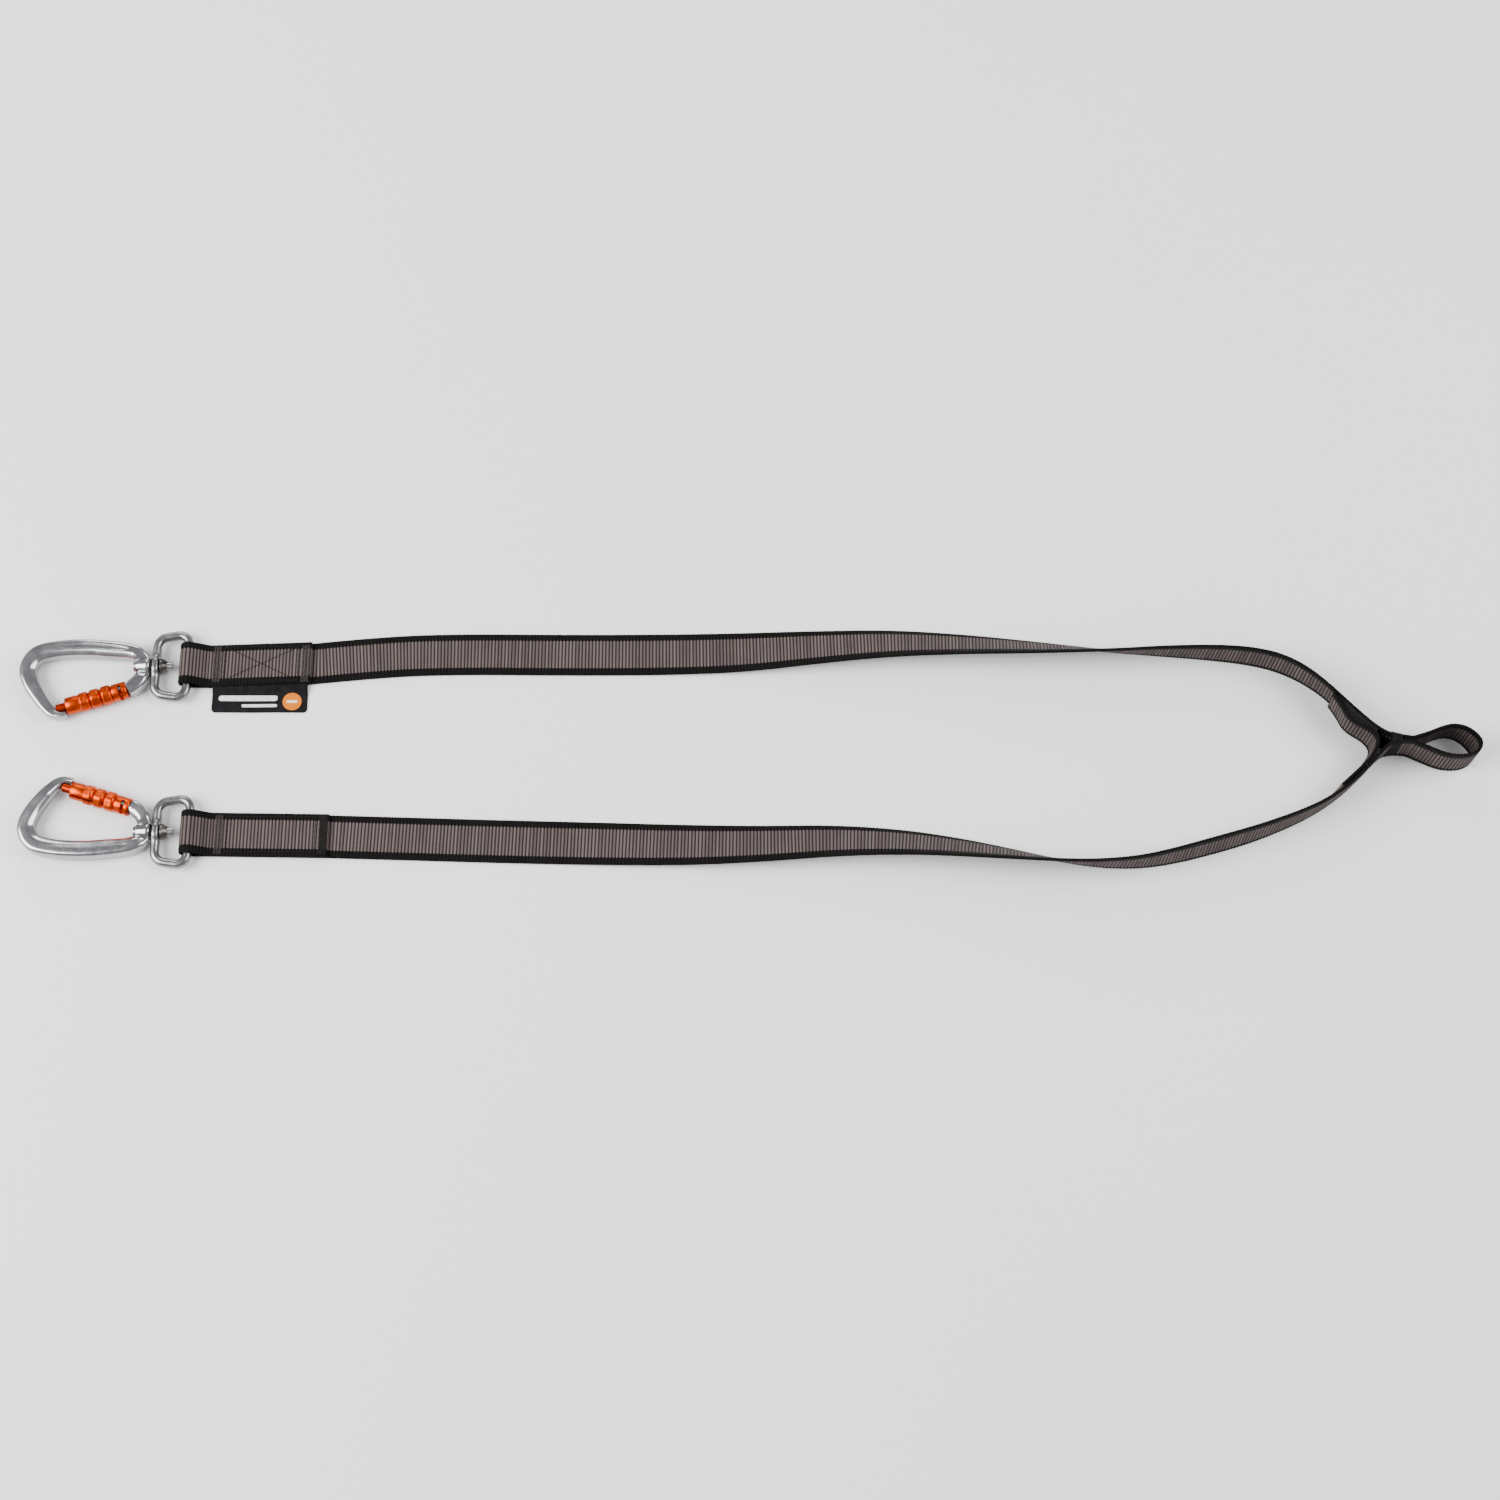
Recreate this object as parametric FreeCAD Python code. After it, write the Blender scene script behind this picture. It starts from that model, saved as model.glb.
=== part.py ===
import FreeCAD, Part
import math
import os

# A two-dog lead coupler: two arms of flat webbing that meet in a sewn throat with a small
# attachment loop. Each free end is folded round a swivel D-ring that carries a carabiner with
# a twist-lock gate. Everything lies on the plane z = 0, +X points from the carabiners to the
# loop, and the origin is under the middle of the whole layout. Lengths are in millimetres.

V = FreeCAD.Vector
X_AXIS = V(1, 0, 0)
Y_AXIS = V(0, 1, 0)
Z_AXIS = V(0, 0, 1)

# ---- driving dimensions -------------------------------------------------------------------
WEB_WIDTH = 23.0
WEB_THICK = 1.8
LAYER_GAP = 0.05                 # between sewn layers with nothing between them
LABEL_THICK = 0.6
LABEL_START = -278.6
LABEL_LENGTH = 49.4
LABEL_CORNER = 2.0
LABEL_DROP = 13.4                # how far the label hangs out below the webbing
STITCH_HEIGHT = 0.4
LAYOUT_SHIFT = V(3.6, 0.35, 0.07)  # centres the layout on the origin

HARDWARE_Z = 5.2                 # mid-plane of the rings and carabiners
RING_STOCK = 4.8
RING_BAR_X = 16.5                # from the eye bar's centre to the bar inside the webbing
RING_EYE_RADIUS = 4.2
RIVET_RADIUS = 2.0
RUN_CLEARANCE = 0.05             # radial clearance where one piece turns on another

FRAME_THICK = 8.4
FRAME_ROUND = 1.8
BOSS_RADIUS = 4.6
BOSS_LEFT = -8.85
BOSS_RIGHT = -2.9

# The bar of the frame from its hinge end, up through the boss, along the spine and round to
# the nose: x, y and width in its own plane, from the centre of the ring's eye.
FRAME_LINE = [
    (-13.2, -13.2, 7.6), (-9.6, -10.6, 7.8), (-6.6, -6.2, 7.2), (-5.9, 0.0, 6.4), (-7.6, 5.0, 7.4),
    (-13.0, 7.7, 8.0), (-24.0, 9.0, 8.8), (-37.0, 9.8, 8.9), (-51.0, 9.0, 8.9), (-61.4, 6.0, 9.0),
    (-65.8, -1.6, 8.6), (-63.6, -10.0, 8.0), (-58.8, -17.6, 7.2), (-53.6, -23.2, 6.6), (-48.9, -26.4, 4.6),
]
HINGE = V(-11.1, -12.0, 0)       # gate hinge, from the centre of the ring's eye
GATE_TILT = 17.4                 # angle between the gate and the swivel axis, degrees
HINGE_PIN_RADIUS = 1.0
GATE_OPENING = 27.0              # degrees
BARREL_RADIUS = 2.4
BARREL_TIP = -40.2               # along the gate from the hinge
TONGUE_RADIUS = 2.8
TONGUE_LOW = -1.6
TONGUE_HIGH = 0.4
SPRING_ROOM = 1.5                # beside the tongue, for the gate's torsion spring
SLEEVE_START = -34.8
SLEEVE_END = -2.9
SLEEVE_RADIUS = 4.6
KNURL_RADIUS = 5.15
KNURL_PITCH = 5.85
KNURL_COUNT = 3
GUIDE_PIN_U = -6.2
GUIDE_PIN_RADIUS = 0.75
SLEEVE_TWIST = 90.0              # degrees
OPENING_SLOT_ANGLE = 319.0       # where the sleeve's long slot lies, degrees about the gate

# Routes of the webbing, hand-laid: x, y, and roll in degrees, where 0 is flat on the floor
# and 90 is standing on edge. The lower edge rests on the floor all along.
ARM_A = [
    (-228, 47.2, 0), (-190, 51.4, 0), (-148, 52.7, 0), (-98, 52.2, 0), (-50, 52.3, 0),
    (-6, 53.0, 5), (34, 54.9, 21), (72, 56.5, 32), (110, 55.3, 43), (148, 52.9, 55),
    (184, 50.7, 69), (214, 50.3, 80), (240, 49.4, 87), (258, 47.6, 90), (272, 44.2, 90),
    (284, 38.2, 88), (295, 29.6, 84), (305, 18.9, 84), (313.5, 9.9, 85), (320.3, 3.4, 87),
    (327, -0.1, 90), (336, -1.05, 90),
]
ARM_B = [
    (-214, -47.2, 0), (-176, -48.3, 0), (-128, -49.8, 0), (-80, -51.0, 1), (-34, -52.3, 9),
    (4, -52.4, 20), (42, -51.1, 30), (75, -52.2, 40), (101, -54.9, 49), (126, -58.5, 59),
    (151, -62.4, 71), (174, -64.7, 81), (195, -64.1, 88), (213, -60.8, 93), (233, -55.4, 95),
    (254, -49.2, 94), (273, -42.0, 91), (288, -34.9, 88), (300, -26.8, 87), (310, -17.8, 87),
    (317, -10.4, 87), (322, -5.2, 88), (327.2, -2.05, 90), (336, -2.95, 90),
]
LOOP = [
    (336, -1.05, 90), (343.5, 1.3, 89), (350, 4.5, 87), (356, 6.4, 86), (362, 5.6, 87),
    (367, 2.2, 89), (370.4, -2.4, 90), (369.6, -7.2, 90), (364.8, -10.3, 90), (358, -11.2, 90),
    (350.5, -9.8, 90), (343.5, -6.4, 90), (336, -2.95, 90),
]
REINFORCEMENT = [
    (298.3, 23.3, 84), (302.2, 17.0, 84), (304.4, 11.2, 84), (309.0, 7.2, 85), (315.2, 3.9, 87),
    (319.2, -1.6, 90), (315.0, -9.4, 93), (309.0, -15.8, 93), (303.8, -20.6, 93), (298.4, -25.4, 93),
]

# Each side: the centre of its ring's eye, whether its carabiner is turned over, the middle of
# its webbing at the ring and under the stitching, the gap between the sewn layers, which holds
# the label on side a, and its arm.
SIDES = {
    "a": {
        "eye": V(-308.0, 44.2, HARDWARE_Z), "turned": False,
        "fold_y": 45.3, "stitch_y": 46.3, "gap": LABEL_THICK, "arm": ARM_A,
    },
    "b": {
        "eye": V(-300.8, -46.0, HARDWARE_Z), "turned": True,
        "fold_y": -46.4, "stitch_y": -46.8, "gap": LAYER_GAP, "arm": ARM_B,
    },
}

os.makedirs("parts", exist_ok=True)


def export(name, shape):
    """Write one node, and say if anything about its solids is wrong."""
    shape.translate(LAYOUT_SHIFT)
    if not shape.isValid() or not shape.Solids:
        print("PROBLEM", name, "valid", shape.isValid(), "solids", len(shape.Solids))
    shape.exportStep("parts/" + name + ".step")
    print(f"{name}: {len(shape.Solids)} solid(s), {shape.Volume:.0f} mm3")


# ---- webbing ------------------------------------------------------------------------------
def rolled_point(x, y, roll):
    """A point of a route, raised so that the webbing's lower edge is on the floor."""
    turn = math.radians(roll)
    rise = WEB_WIDTH / 2 * abs(math.sin(turn)) + WEB_THICK / 2 * abs(math.cos(turn))
    return V(x, y, rise)


def rounded_route(points):
    """Straight runs joined by tangent arcs as large as the runs allow."""
    edges = []
    radii = []
    marks = [0.0]
    length = 0.0
    start = points[0]
    for before, corner, after in zip(points, points[1:], points[2:]):
        back = (before - corner).normalize()
        ahead = (after - corner).normalize()
        half_turn = (math.pi - back.getAngle(ahead)) / 2
        reach = 0.45 * min(before.distanceToPoint(corner), after.distanceToPoint(corner))
        radius = reach / math.tan(half_turn)
        bisector = (back + ahead).normalize()
        middle = corner + bisector * (radius / math.cos(half_turn) - radius)
        arc_start = corner + back * reach
        arc_end = corner + ahead * reach
        run = Part.LineSegment(start, arc_start).toShape()
        arc = Part.Arc(arc_start, middle, arc_end).toShape()
        edges += [run, arc]
        marks.append(length + run.Length + arc.Length / 2)
        length += run.Length + arc.Length
        radii.append(radius)
        start = arc_end
    last = Part.LineSegment(start, points[-1]).toShape()
    edges.append(last)
    marks.append(length + last.Length)
    return edges, radii, marks


def stations(edges, step):
    """Points and tangents along a chain of edges, each edge in equal parts."""
    found = []
    for edge in edges:
        parts = max(1, math.ceil(edge.Length / step))
        first = 0 if not found else 1
        for i in range(first, parts + 1):
            t = edge.FirstParameter + (edge.LastParameter - edge.FirstParameter) * i / parts
            found.append((edge.valueAt(t), edge.tangentAt(t)))
    return found


def band(sections):
    """A closed band through (centre, across, face normal) sections."""
    wires = []
    for centre, across, normal in sections:
        side = across * (WEB_WIDTH / 2)
        face = normal * (WEB_THICK / 2)
        corners = [centre + side + face, centre - side + face, centre - side - face, centre + side - face]
        wires.append(Part.makePolygon(corners + corners[:1]))
    return Part.makeLoft(wires, True, True)


def webbing(name, route, step, start_facing=None, end_facing=None):
    """Webbing along a route, turned about its own line by the rolls given there.

    A facing is the way an end looks where it has to meet the next length face to face."""
    points = [rolled_point(*entry) for entry in route]
    edges, radii, marks = rounded_route(points)
    rolls = [entry[2] for entry in route]
    sections = []
    travelled = 0.0
    previous = None
    places = stations(edges, step)
    if start_facing:
        places[0] = (places[0][0], start_facing)
    if end_facing:
        places[-1] = (places[-1][0], end_facing)
    for centre, tangent in places:
        if previous is not None:
            travelled += previous.distanceToPoint(centre)
        previous = centre
        span = max(i for i in range(len(marks) - 1) if marks[i] <= travelled or i == 0)
        share = (travelled - marks[span]) / (marks[span + 1] - marks[span])
        roll = math.radians(rolls[span] + (rolls[span + 1] - rolls[span]) * min(max(share, 0), 1))
        left = Z_AXIS.cross(tangent).normalize()
        across = left * math.cos(roll) - Z_AXIS * math.sin(roll)
        across = (across - tangent * across.dot(tangent)).normalize()
        sections.append((centre, across, tangent.cross(across).normalize()))
    solid = band(sections)
    length = sum(edge.Length for edge in edges)
    print(f"{name}: route {length:.1f} mm, radii " + ", ".join(f"{r:.0f}" for r in radii))
    print(f"{name}: volume / (section x length) {solid.Volume / (WEB_WIDTH * WEB_THICK * length):.3f}")
    return solid


def ring_fold(side):
    """The sewn end: in along the floor, round the ring's bar and back on top of itself."""
    eye = side["eye"]
    bar = V(eye.x + RING_BAR_X, eye.y, eye.z)
    wrap = RING_STOCK / 2 + 0.3 + WEB_THICK / 2
    fold_y = side["fold_y"]
    end_x, end_y, _ = side["arm"][0]
    low_z = WEB_THICK / 2
    top_z = low_z + WEB_THICK + side["gap"]

    def on_bar(angle):
        turn = math.radians(angle)
        return bar + V(math.cos(turn), 0, math.sin(turn)) * wrap

    def touch(target, turn_sign):
        reach = target - bar
        lean = math.degrees(math.atan2(reach.z, reach.x))
        return lean + turn_sign * math.degrees(math.acos(wrap / math.hypot(reach.x, reach.z)))

    low_knee = V(bar.x + 12, eye.y, low_z)
    top_knee = V(bar.x + 10.5, eye.y, top_z)
    low_angle = touch(low_knee, -1)
    top_angle = touch(top_knee, 1)
    angles = [low_angle - i * (low_angle + 360 - top_angle) / 16 for i in range(17)]
    end_low = V(end_x, eye.y, low_z)
    end_top = V(end_x, eye.y, top_z)
    path = [end_low, low_knee] + [on_bar(a) for a in angles]
    knee_in = on_bar(angles[-1]) - top_knee
    knee_in.normalize()
    for share in (1.6, 0.8, 0.25):
        path.append(top_knee + knee_in * share - V(0, 0, 0.09 * (1.6 - share)))
    path += [top_knee + V(0.9, 0, 0), top_knee + V(2.4, 0, 0), end_top]
    slant = (end_y - fold_y) / (end_x - low_knee.x)
    sections = []
    for i, centre in enumerate(path):
        ahead = path[min(i + 1, len(path) - 1)] - centre
        behind = centre - path[max(i - 1, 0)]
        tangent = V(0, 0, 0)
        for part in (ahead, behind):
            if part.Length > 0:
                tangent = tangent + V(part).normalize()
        tangent.normalize()
        drift = fold_y - eye.y + max(0, centre.x - low_knee.x) * slant
        sections.append((centre + V(0, drift, 0), V(Y_AXIS), tangent.cross(Y_AXIS).normalize()))
    return band(sections)


def label_tag():
    """A label whose upper edge is sewn between the two layers of side a's fold."""
    low_edge = SIDES["a"]["fold_y"] - WEB_WIDTH / 2
    half = LABEL_THICK / 2
    line = [
        (low_edge + 6.0, WEB_THICK + half), (low_edge - 0.3, WEB_THICK + half),
        (low_edge - 3.6, half), (low_edge - LABEL_DROP, half),
    ]
    upper = [V(0, y, z + half) for y, z in line]
    lower = [V(0, y, z - half) for y, z in reversed(line)]
    outline = Part.makePolygon(upper + lower + upper[:1])
    sheet = Part.Face(outline).extrude(V(LABEL_LENGTH, 0, 0))
    sheet.translate(V(LABEL_START, 0, 0))
    corners = [e for e in sheet.Edges if abs(e.CenterOfMass.y - (low_edge - LABEL_DROP)) < 0.01 and
               abs(e.Length - LABEL_THICK) < 0.01]
    return sheet.makeFillet(LABEL_CORNER, corners)


def stitch_bar(start, end, base_z, width):
    """One thread line lying on the webbing's upper face."""
    along = end - start
    bar = Part.makeBox(along.Length, width, STITCH_HEIGHT, V(0, -width / 2, 0))
    bar.rotate(V(0, 0, 0), Z_AXIS, math.degrees(math.atan2(along.y, along.x)))
    bar.translate(V(start.x, start.y, base_z))
    return bar


def ring_stitching(side):
    """Bar tacks at both ends of the sewn stretch and a crossed box between them."""
    eye = side["eye"]
    centre_y = side["stitch_y"]
    base = 2 * WEB_THICK + side["gap"]
    first = eye.x + RING_BAR_X + 13.5
    last = side["arm"][0][0] - 1.5
    half = WEB_WIDTH / 2 - 2.0
    lines = []
    for x in (first, first + 2.2, last - 3.6, last - 1.4):
        lines.append((V(x, centre_y - half, 0), V(x, centre_y + half, 0), 0.8))
    left = first + 5.0
    right = last - 6.5
    for y in (centre_y - half, centre_y + half):
        lines.append((V(left, y, 0), V(right, y, 0), 0.6))
    lines.append((V(left, centre_y - half + 0.8, 0), V(right, centre_y + half - 0.8, 0), 0.6))
    threads = [stitch_bar(start, end, base, width) for start, end, width in lines]
    middle = (left + right) / 2
    slope = (2 * half - 1.6) / (right - left)
    for start, end in ((left, middle - 2), (middle + 2, right)):
        y_start = centre_y + half - 0.8 - (start - left) * slope
        y_end = centre_y + half - 0.8 - (end - left) * slope
        threads.append(stitch_bar(V(start, y_start, 0), V(end, y_end, 0), base, 0.6))
    return Part.makeCompound(threads)


def throat_stitching():
    """Rows of thread standing on the outer faces where the two arms are sewn together."""
    near_end = V(ARM_A[-1][0], (ARM_A[-1][1] + ARM_B[-1][1]) / 2, 0)
    slope = (ARM_A[-1][1] - ARM_A[-2][1]) / (ARM_A[-1][0] - ARM_A[-2][0])
    rows = []
    for back in (1.2, 2.5, 3.8, 5.1):
        x = near_end.x - back
        middle = near_end.y - back * slope
        for side in (1, -1):
            inner = middle + side * (WEB_THICK + 0.14)
            low = min(inner, inner + side * STITCH_HEIGHT)
            rows.append(Part.makeBox(0.8, STITCH_HEIGHT, WEB_WIDTH - 4, V(x - 0.4, low, 2)))
    return Part.makeCompound(rows)


# ---- ring and swivel ----------------------------------------------------------------------
def swivel_ring():
    """A D of round stock with a forged eye in its straight bar, about the eye's centre."""
    left_radius = 6.1
    left_centre = V(left_radius, 10.3, 0)
    right_radius = 5.0
    right_centre = V(RING_BAR_X - right_radius, 12.2, 0)
    span = right_centre - left_centre
    slope = math.atan2(span.y, span.x) - math.asin((left_radius - right_radius) / span.Length)

    def on(centre, radius, angle, sign):
        return V(centre.x + radius * math.cos(angle), sign * (centre.y + radius * math.sin(angle)), 0)

    touch = slope + math.pi / 2
    edges = []
    corners = {}
    for sign in (1, -1):
        a = on(left_centre, left_radius, math.pi, sign)
        b = on(left_centre, left_radius, (math.pi + touch) / 2, sign)
        c = on(left_centre, left_radius, touch, sign)
        d = on(right_centre, right_radius, touch, sign)
        e = on(right_centre, right_radius, touch / 2, sign)
        f = on(right_centre, right_radius, 0, sign)
        half = [Part.Arc(a, b, c).toShape(), Part.LineSegment(c, d).toShape(), Part.Arc(d, e, f).toShape()]
        edges += half
        corners[sign] = (a, f)
    edges.append(Part.LineSegment(corners[1][0], corners[-1][0]).toShape())
    edges.append(Part.LineSegment(corners[1][1], corners[-1][1]).toShape())
    path = Part.Wire(Part.__sortEdges__(edges))
    middle = V(0, 0, 0)
    section = Part.Wire(Part.makeCircle(RING_STOCK / 2, middle, Y_AXIS))
    start_path = Part.Wire(Part.__sortEdges__([
        Part.LineSegment(middle, corners[1][0]).toShape(), *edges[0:3], edges[7],
        *edges[3:6], Part.LineSegment(corners[-1][0], middle).toShape()]))
    stock = start_path.makePipeShell([section], True, False)
    eye = Part.makeCylinder(RING_EYE_RADIUS, RING_STOCK, V(-RING_STOCK / 2, 0, 0), X_AXIS)
    bore = Part.makeCylinder(RIVET_RADIUS + RUN_CLEARANCE, 12, V(-6, 0, 0), X_AXIS)
    return stock.fuse(eye).cut(bore).removeSplitter()


def swivel_rivet():
    """Headed rivet, its head inside the carabiner and its set end inside the ring."""
    shank = Part.makeCylinder(RIVET_RADIUS, 8.6 - BOSS_LEFT, V(BOSS_LEFT, 0, 0), X_AXIS)
    head = Part.makeCone(2.7, 3.2, 1.2, V(BOSS_LEFT - 2.4, 0, 0), X_AXIS)
    head = head.fuse(Part.makeCylinder(3.2, 1.2, V(BOSS_LEFT - 1.2, 0, 0), X_AXIS))
    set_end = Part.makeCylinder(2.3, 2.6, V(6.0, 0, 0), X_AXIS)
    return shank.fuse([head, set_end]).removeSplitter()


def swivel_washer():
    """Thin thrust washer in the gap between the boss and the eye."""
    left = BOSS_RIGHT
    thickness = -RING_STOCK / 2 - 0.1 - left
    disc = Part.makeCylinder(3.8, thickness, V(left, 0, 0), X_AXIS)
    return disc.cut(Part.makeCylinder(RIVET_RADIUS, 3, V(left - 1, 0, 0), X_AXIS))


def swivel_collar():
    """Stepped, tapered collar on the rivet, behind its set end."""
    start = RING_STOCK / 2 + 0.1
    wide = Part.makeCylinder(4.0, 1.3, V(start, 0, 0), X_AXIS)
    taper = Part.makeCone(3.7, 2.7, 6.0 - start - 1.3, V(start + 1.3, 0, 0), X_AXIS)
    bore = Part.makeCylinder(RIVET_RADIUS, 8, V(0, 0, 0), X_AXIS)
    return wide.fuse(taper).cut(bore).removeSplitter()


# ---- carabiner ----------------------------------------------------------------------------
def gate_point(u, w, z=0.0):
    """A point in the gate's own axes: u along it towards the hinge, w inwards."""
    turn = math.radians(GATE_TILT)
    return HINGE + V(u * math.cos(turn) - w * math.sin(turn), u * math.sin(turn) + w * math.cos(turn), z)


def place_gate(shape):
    """Put a shape drawn along X at the origin into the gate's place."""
    shape.rotate(V(0, 0, 0), Z_AXIS, GATE_TILT)
    shape.translate(HINGE)
    return shape


def rounded_section(centre, along, width):
    """A rounded rectangle across the frame's bar, standing square to its line."""
    side = Z_AXIS.cross(along).normalize()
    half_w = width / 2
    half_t = FRAME_THICK / 2
    r = min(FRAME_ROUND, half_w - 0.3)
    bulge = r * (1 - math.sqrt(0.5))
    outline = []

    def at(a, b):
        return centre + side * a + V(0, 0, b)

    quarter = [(1, 1), (-1, 1), (-1, -1), (1, -1)]
    for i, (p, q) in enumerate(quarter):
        flat_side = at(p * half_w, q * (half_t - r))
        flat_face = at(p * (half_w - r), q * half_t)
        corner = at(p * (half_w - bulge), q * (half_t - bulge))
        first, last = (flat_side, flat_face) if i % 2 == 0 else (flat_face, flat_side)
        outline.append(Part.Arc(first, corner, last).toShape())
        after_p, after_q = quarter[(i + 1) % 4]
        if i % 2 == 0:
            target = at(after_p * (half_w - r), after_q * half_t)
        else:
            target = at(after_p * half_w, after_q * (half_t - r))
        outline.append(Part.LineSegment(last, target).toShape())
    return Part.Wire(outline)


def carabiner_frame():
    """Forged body: a drop-shaped hook with a swivel boss, a nose lip and a hinge fork."""
    line_of_bar = Part.BSplineCurve()
    line_of_bar.interpolate([V(x, y, 0) for x, y, _ in FRAME_LINE])
    wires = []
    for x, y, width in FRAME_LINE:
        along = line_of_bar.tangent(line_of_bar.parameter(V(x, y, 0)))[0]
        wires.append(rounded_section(V(x, y, 0), V(along), width))
    body = Part.makeLoft(wires, True, False)
    boss = Part.makeCylinder(BOSS_RADIUS, BOSS_RIGHT - BOSS_LEFT, V(BOSS_LEFT, 0, 0), X_AXIS)
    lip = Part.makeBox(5.2, 2.0, 5.2, V(-41.2, -4.75, -2.6))
    lip = lip.makeFillet(0.7, [e for e in lip.Edges if abs(e.CenterOfMass.x + 36.0) < 0.01])
    body = body.fuse([boss, place_gate(lip)])
    body = body.cut(Part.makeCylinder(RIVET_RADIUS, 14, V(-16, 0, 0), X_AXIS))
    body = body.cut(Part.makeBox(6, 30, 12, V(BOSS_RIGHT, -15, -6)))
    head_room = Part.makeCylinder(3.3, 6, V(BOSS_LEFT - 6, 0, 0), X_AXIS)
    notch = Part.makeCylinder(BARREL_RADIUS + 0.35, 8, V(BARREL_TIP - 0.4, 0, 0), X_AXIS)
    fork_height = TONGUE_HIGH - TONGUE_LOW + SPRING_ROOM
    fork_slot = Part.makeCylinder(TONGUE_RADIUS + 0.5, fork_height, V(0, 0, TONGUE_LOW - 0.05))
    fork_mouth = Part.makeBox(6, 9.3, fork_height, V(-6, -3.3, TONGUE_LOW - 0.05))
    pin_hole = Part.makeCylinder(HINGE_PIN_RADIUS, 12, V(0, 0, -6))
    body = body.cut(head_room)
    for cutter in (notch, fork_slot, fork_mouth, pin_hole):
        body = body.cut(place_gate(cutter))
    for share in (0, 0.5, 1):
        relief = Part.makeCylinder(SLEEVE_RADIUS + 0.35, 30, V(SLEEVE_END + 0.3 - 30, 0, 0), X_AXIS)
        relief.rotate(V(0, 0, 0), Z_AXIS, -GATE_OPENING * share)
        relief = relief.common(Part.makeBox(9, 14, 12, V(-9, -6, -6)))
        body = body.cut(place_gate(relief))
    return body


def gate_barrel():
    """Round bar of the gate, with a tongue at the hinge and a blind bore for its spring."""
    bar = Part.makeCylinder(BARREL_RADIUS, SLEEVE_END - 0.6 - BARREL_TIP, V(BARREL_TIP, 0, 0), X_AXIS)
    tip = [e for e in bar.Edges if abs(e.CenterOfMass.x - BARREL_TIP) < 1e-6 and e.Length > 10]
    bar = bar.makeChamfer(0.5, tip)
    thickness = TONGUE_HIGH - TONGUE_LOW
    eye = Part.makeCylinder(TONGUE_RADIUS, thickness, V(0, 0, TONGUE_LOW))
    neck = Part.makeBox(6, 3.4, thickness, V(-6, -1.7, TONGUE_LOW))
    hole = Part.makeCylinder(HINGE_PIN_RADIUS + RUN_CLEARANCE, 12, V(0, 0, -6))
    cross_hole = Part.makeCylinder(GUIDE_PIN_RADIUS, 12, V(GUIDE_PIN_U, 0, -6))
    return place_gate(bar.fuse([eye, neck]).cut(hole).cut(cross_hole).removeSplitter())


def coil(radius, wire, pitch, turns):
    """A helical spring standing on z = 0."""
    helix = Part.makeHelix(pitch, pitch * turns, radius)
    section = Part.Wire(Part.makeCircle(wire / 2, V(radius, 0, 0), Y_AXIS))
    return Part.Wire(helix).makePipeShell([section], True, True)


def gate_spring():
    """Short torsion spring beside the tongue, round the hinge pin."""
    spring = coil(1.6, 0.5, 0.65, 1.2)
    spring.translate(V(0, 0, TONGUE_HIGH + 0.1 + 0.24))
    return place_gate(spring)


def sleeve_spring():
    """Torsion spring round the barrel that turns the sleeve back to locked."""
    spring = coil(3.0, 0.7, 1.5, 7)
    spring.rotate(V(0, 0, 0), Y_AXIS, 90)
    spring.translate(V(-24.5, 0, 0))
    return place_gate(spring)


def gate_hinge_pin():
    """Cross pin through both cheeks of the fork, flush with them."""
    return place_gate(Part.makeCylinder(HINGE_PIN_RADIUS, FRAME_THICK, V(0, 0, -FRAME_THICK / 2)))


def guide_pin():
    """Cross pin through the barrel whose ends run in the sleeve's guide slots."""
    reach = SLEEVE_RADIUS - 0.35
    return place_gate(Part.makeCylinder(GUIDE_PIN_RADIUS, 2 * reach, V(GUIDE_PIN_U, 0, -reach)))


def slot_sector(from_angle, to_angle, width):
    """A wedge-shaped cutter about the gate's axis, for a slot that runs round the sleeve."""
    sweep = math.radians(to_angle - from_angle)
    reach = 9.0
    points = [V(0, 0, 0)]
    for i in range(9):
        angle = math.radians(from_angle) + sweep * i / 8
        points.append(V(0, reach * math.cos(angle), reach * math.sin(angle)))
    wedge = Part.Face(Part.makePolygon(points + points[:1])).extrude(V(width, 0, 0))
    wedge.translate(V(GUIDE_PIN_U - width / 2, 0, 0))
    return wedge


def lock_sleeve():
    """Twist-lock sleeve: plain collars, knurled rings, an opening slot and guide slots."""
    length = SLEEVE_END - SLEEVE_START
    body = Part.makeCylinder(SLEEVE_RADIUS, length, V(SLEEVE_START, 0, 0), X_AXIS)
    for i in range(KNURL_COUNT):
        start = SLEEVE_START + 6.6 + i * KNURL_PITCH
        blank = Part.makeCylinder(KNURL_RADIUS, KNURL_PITCH - 0.7, V(start + 0.35, 0, 0), X_AXIS)
        rims = [e for e in blank.Edges if e.Closed]
        body = body.fuse(blank.makeChamfer(0.5, rims))
        groove = Part.makeCylinder(6, 0.7, V(start - 0.35, 0, 0), X_AXIS)
        if i > 0:
            body = body.cut(groove.cut(Part.makeCylinder(4.15, 3, V(start - 1.5, 0, 0), X_AXIS)))
    body = body.cut(Part.makeCylinder(BARREL_RADIUS + RUN_CLEARANCE, length + 2, V(SLEEVE_START - 1, 0, 0), X_AXIS))
    spring_room = Part.makeCylinder(3.5, 12.5, V(-25.2, 0, 0), X_AXIS)
    body = body.cut(spring_room)
    opening = Part.makeBox(14.5, 8, 1.3, V(SLEEVE_START - 1, 0, -0.65))
    opening.rotate(V(0, 0, 0), X_AXIS, OPENING_SLOT_ANGLE)
    body = body.cut(opening)
    margin = 21.0
    for start in (90.0, 270.0):
        body = body.cut(slot_sector(start - margin, start + SLEEVE_TWIST + margin, 2 * GUIDE_PIN_RADIUS + 0.3))
    return place_gate(body.removeSplitter())


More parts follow.
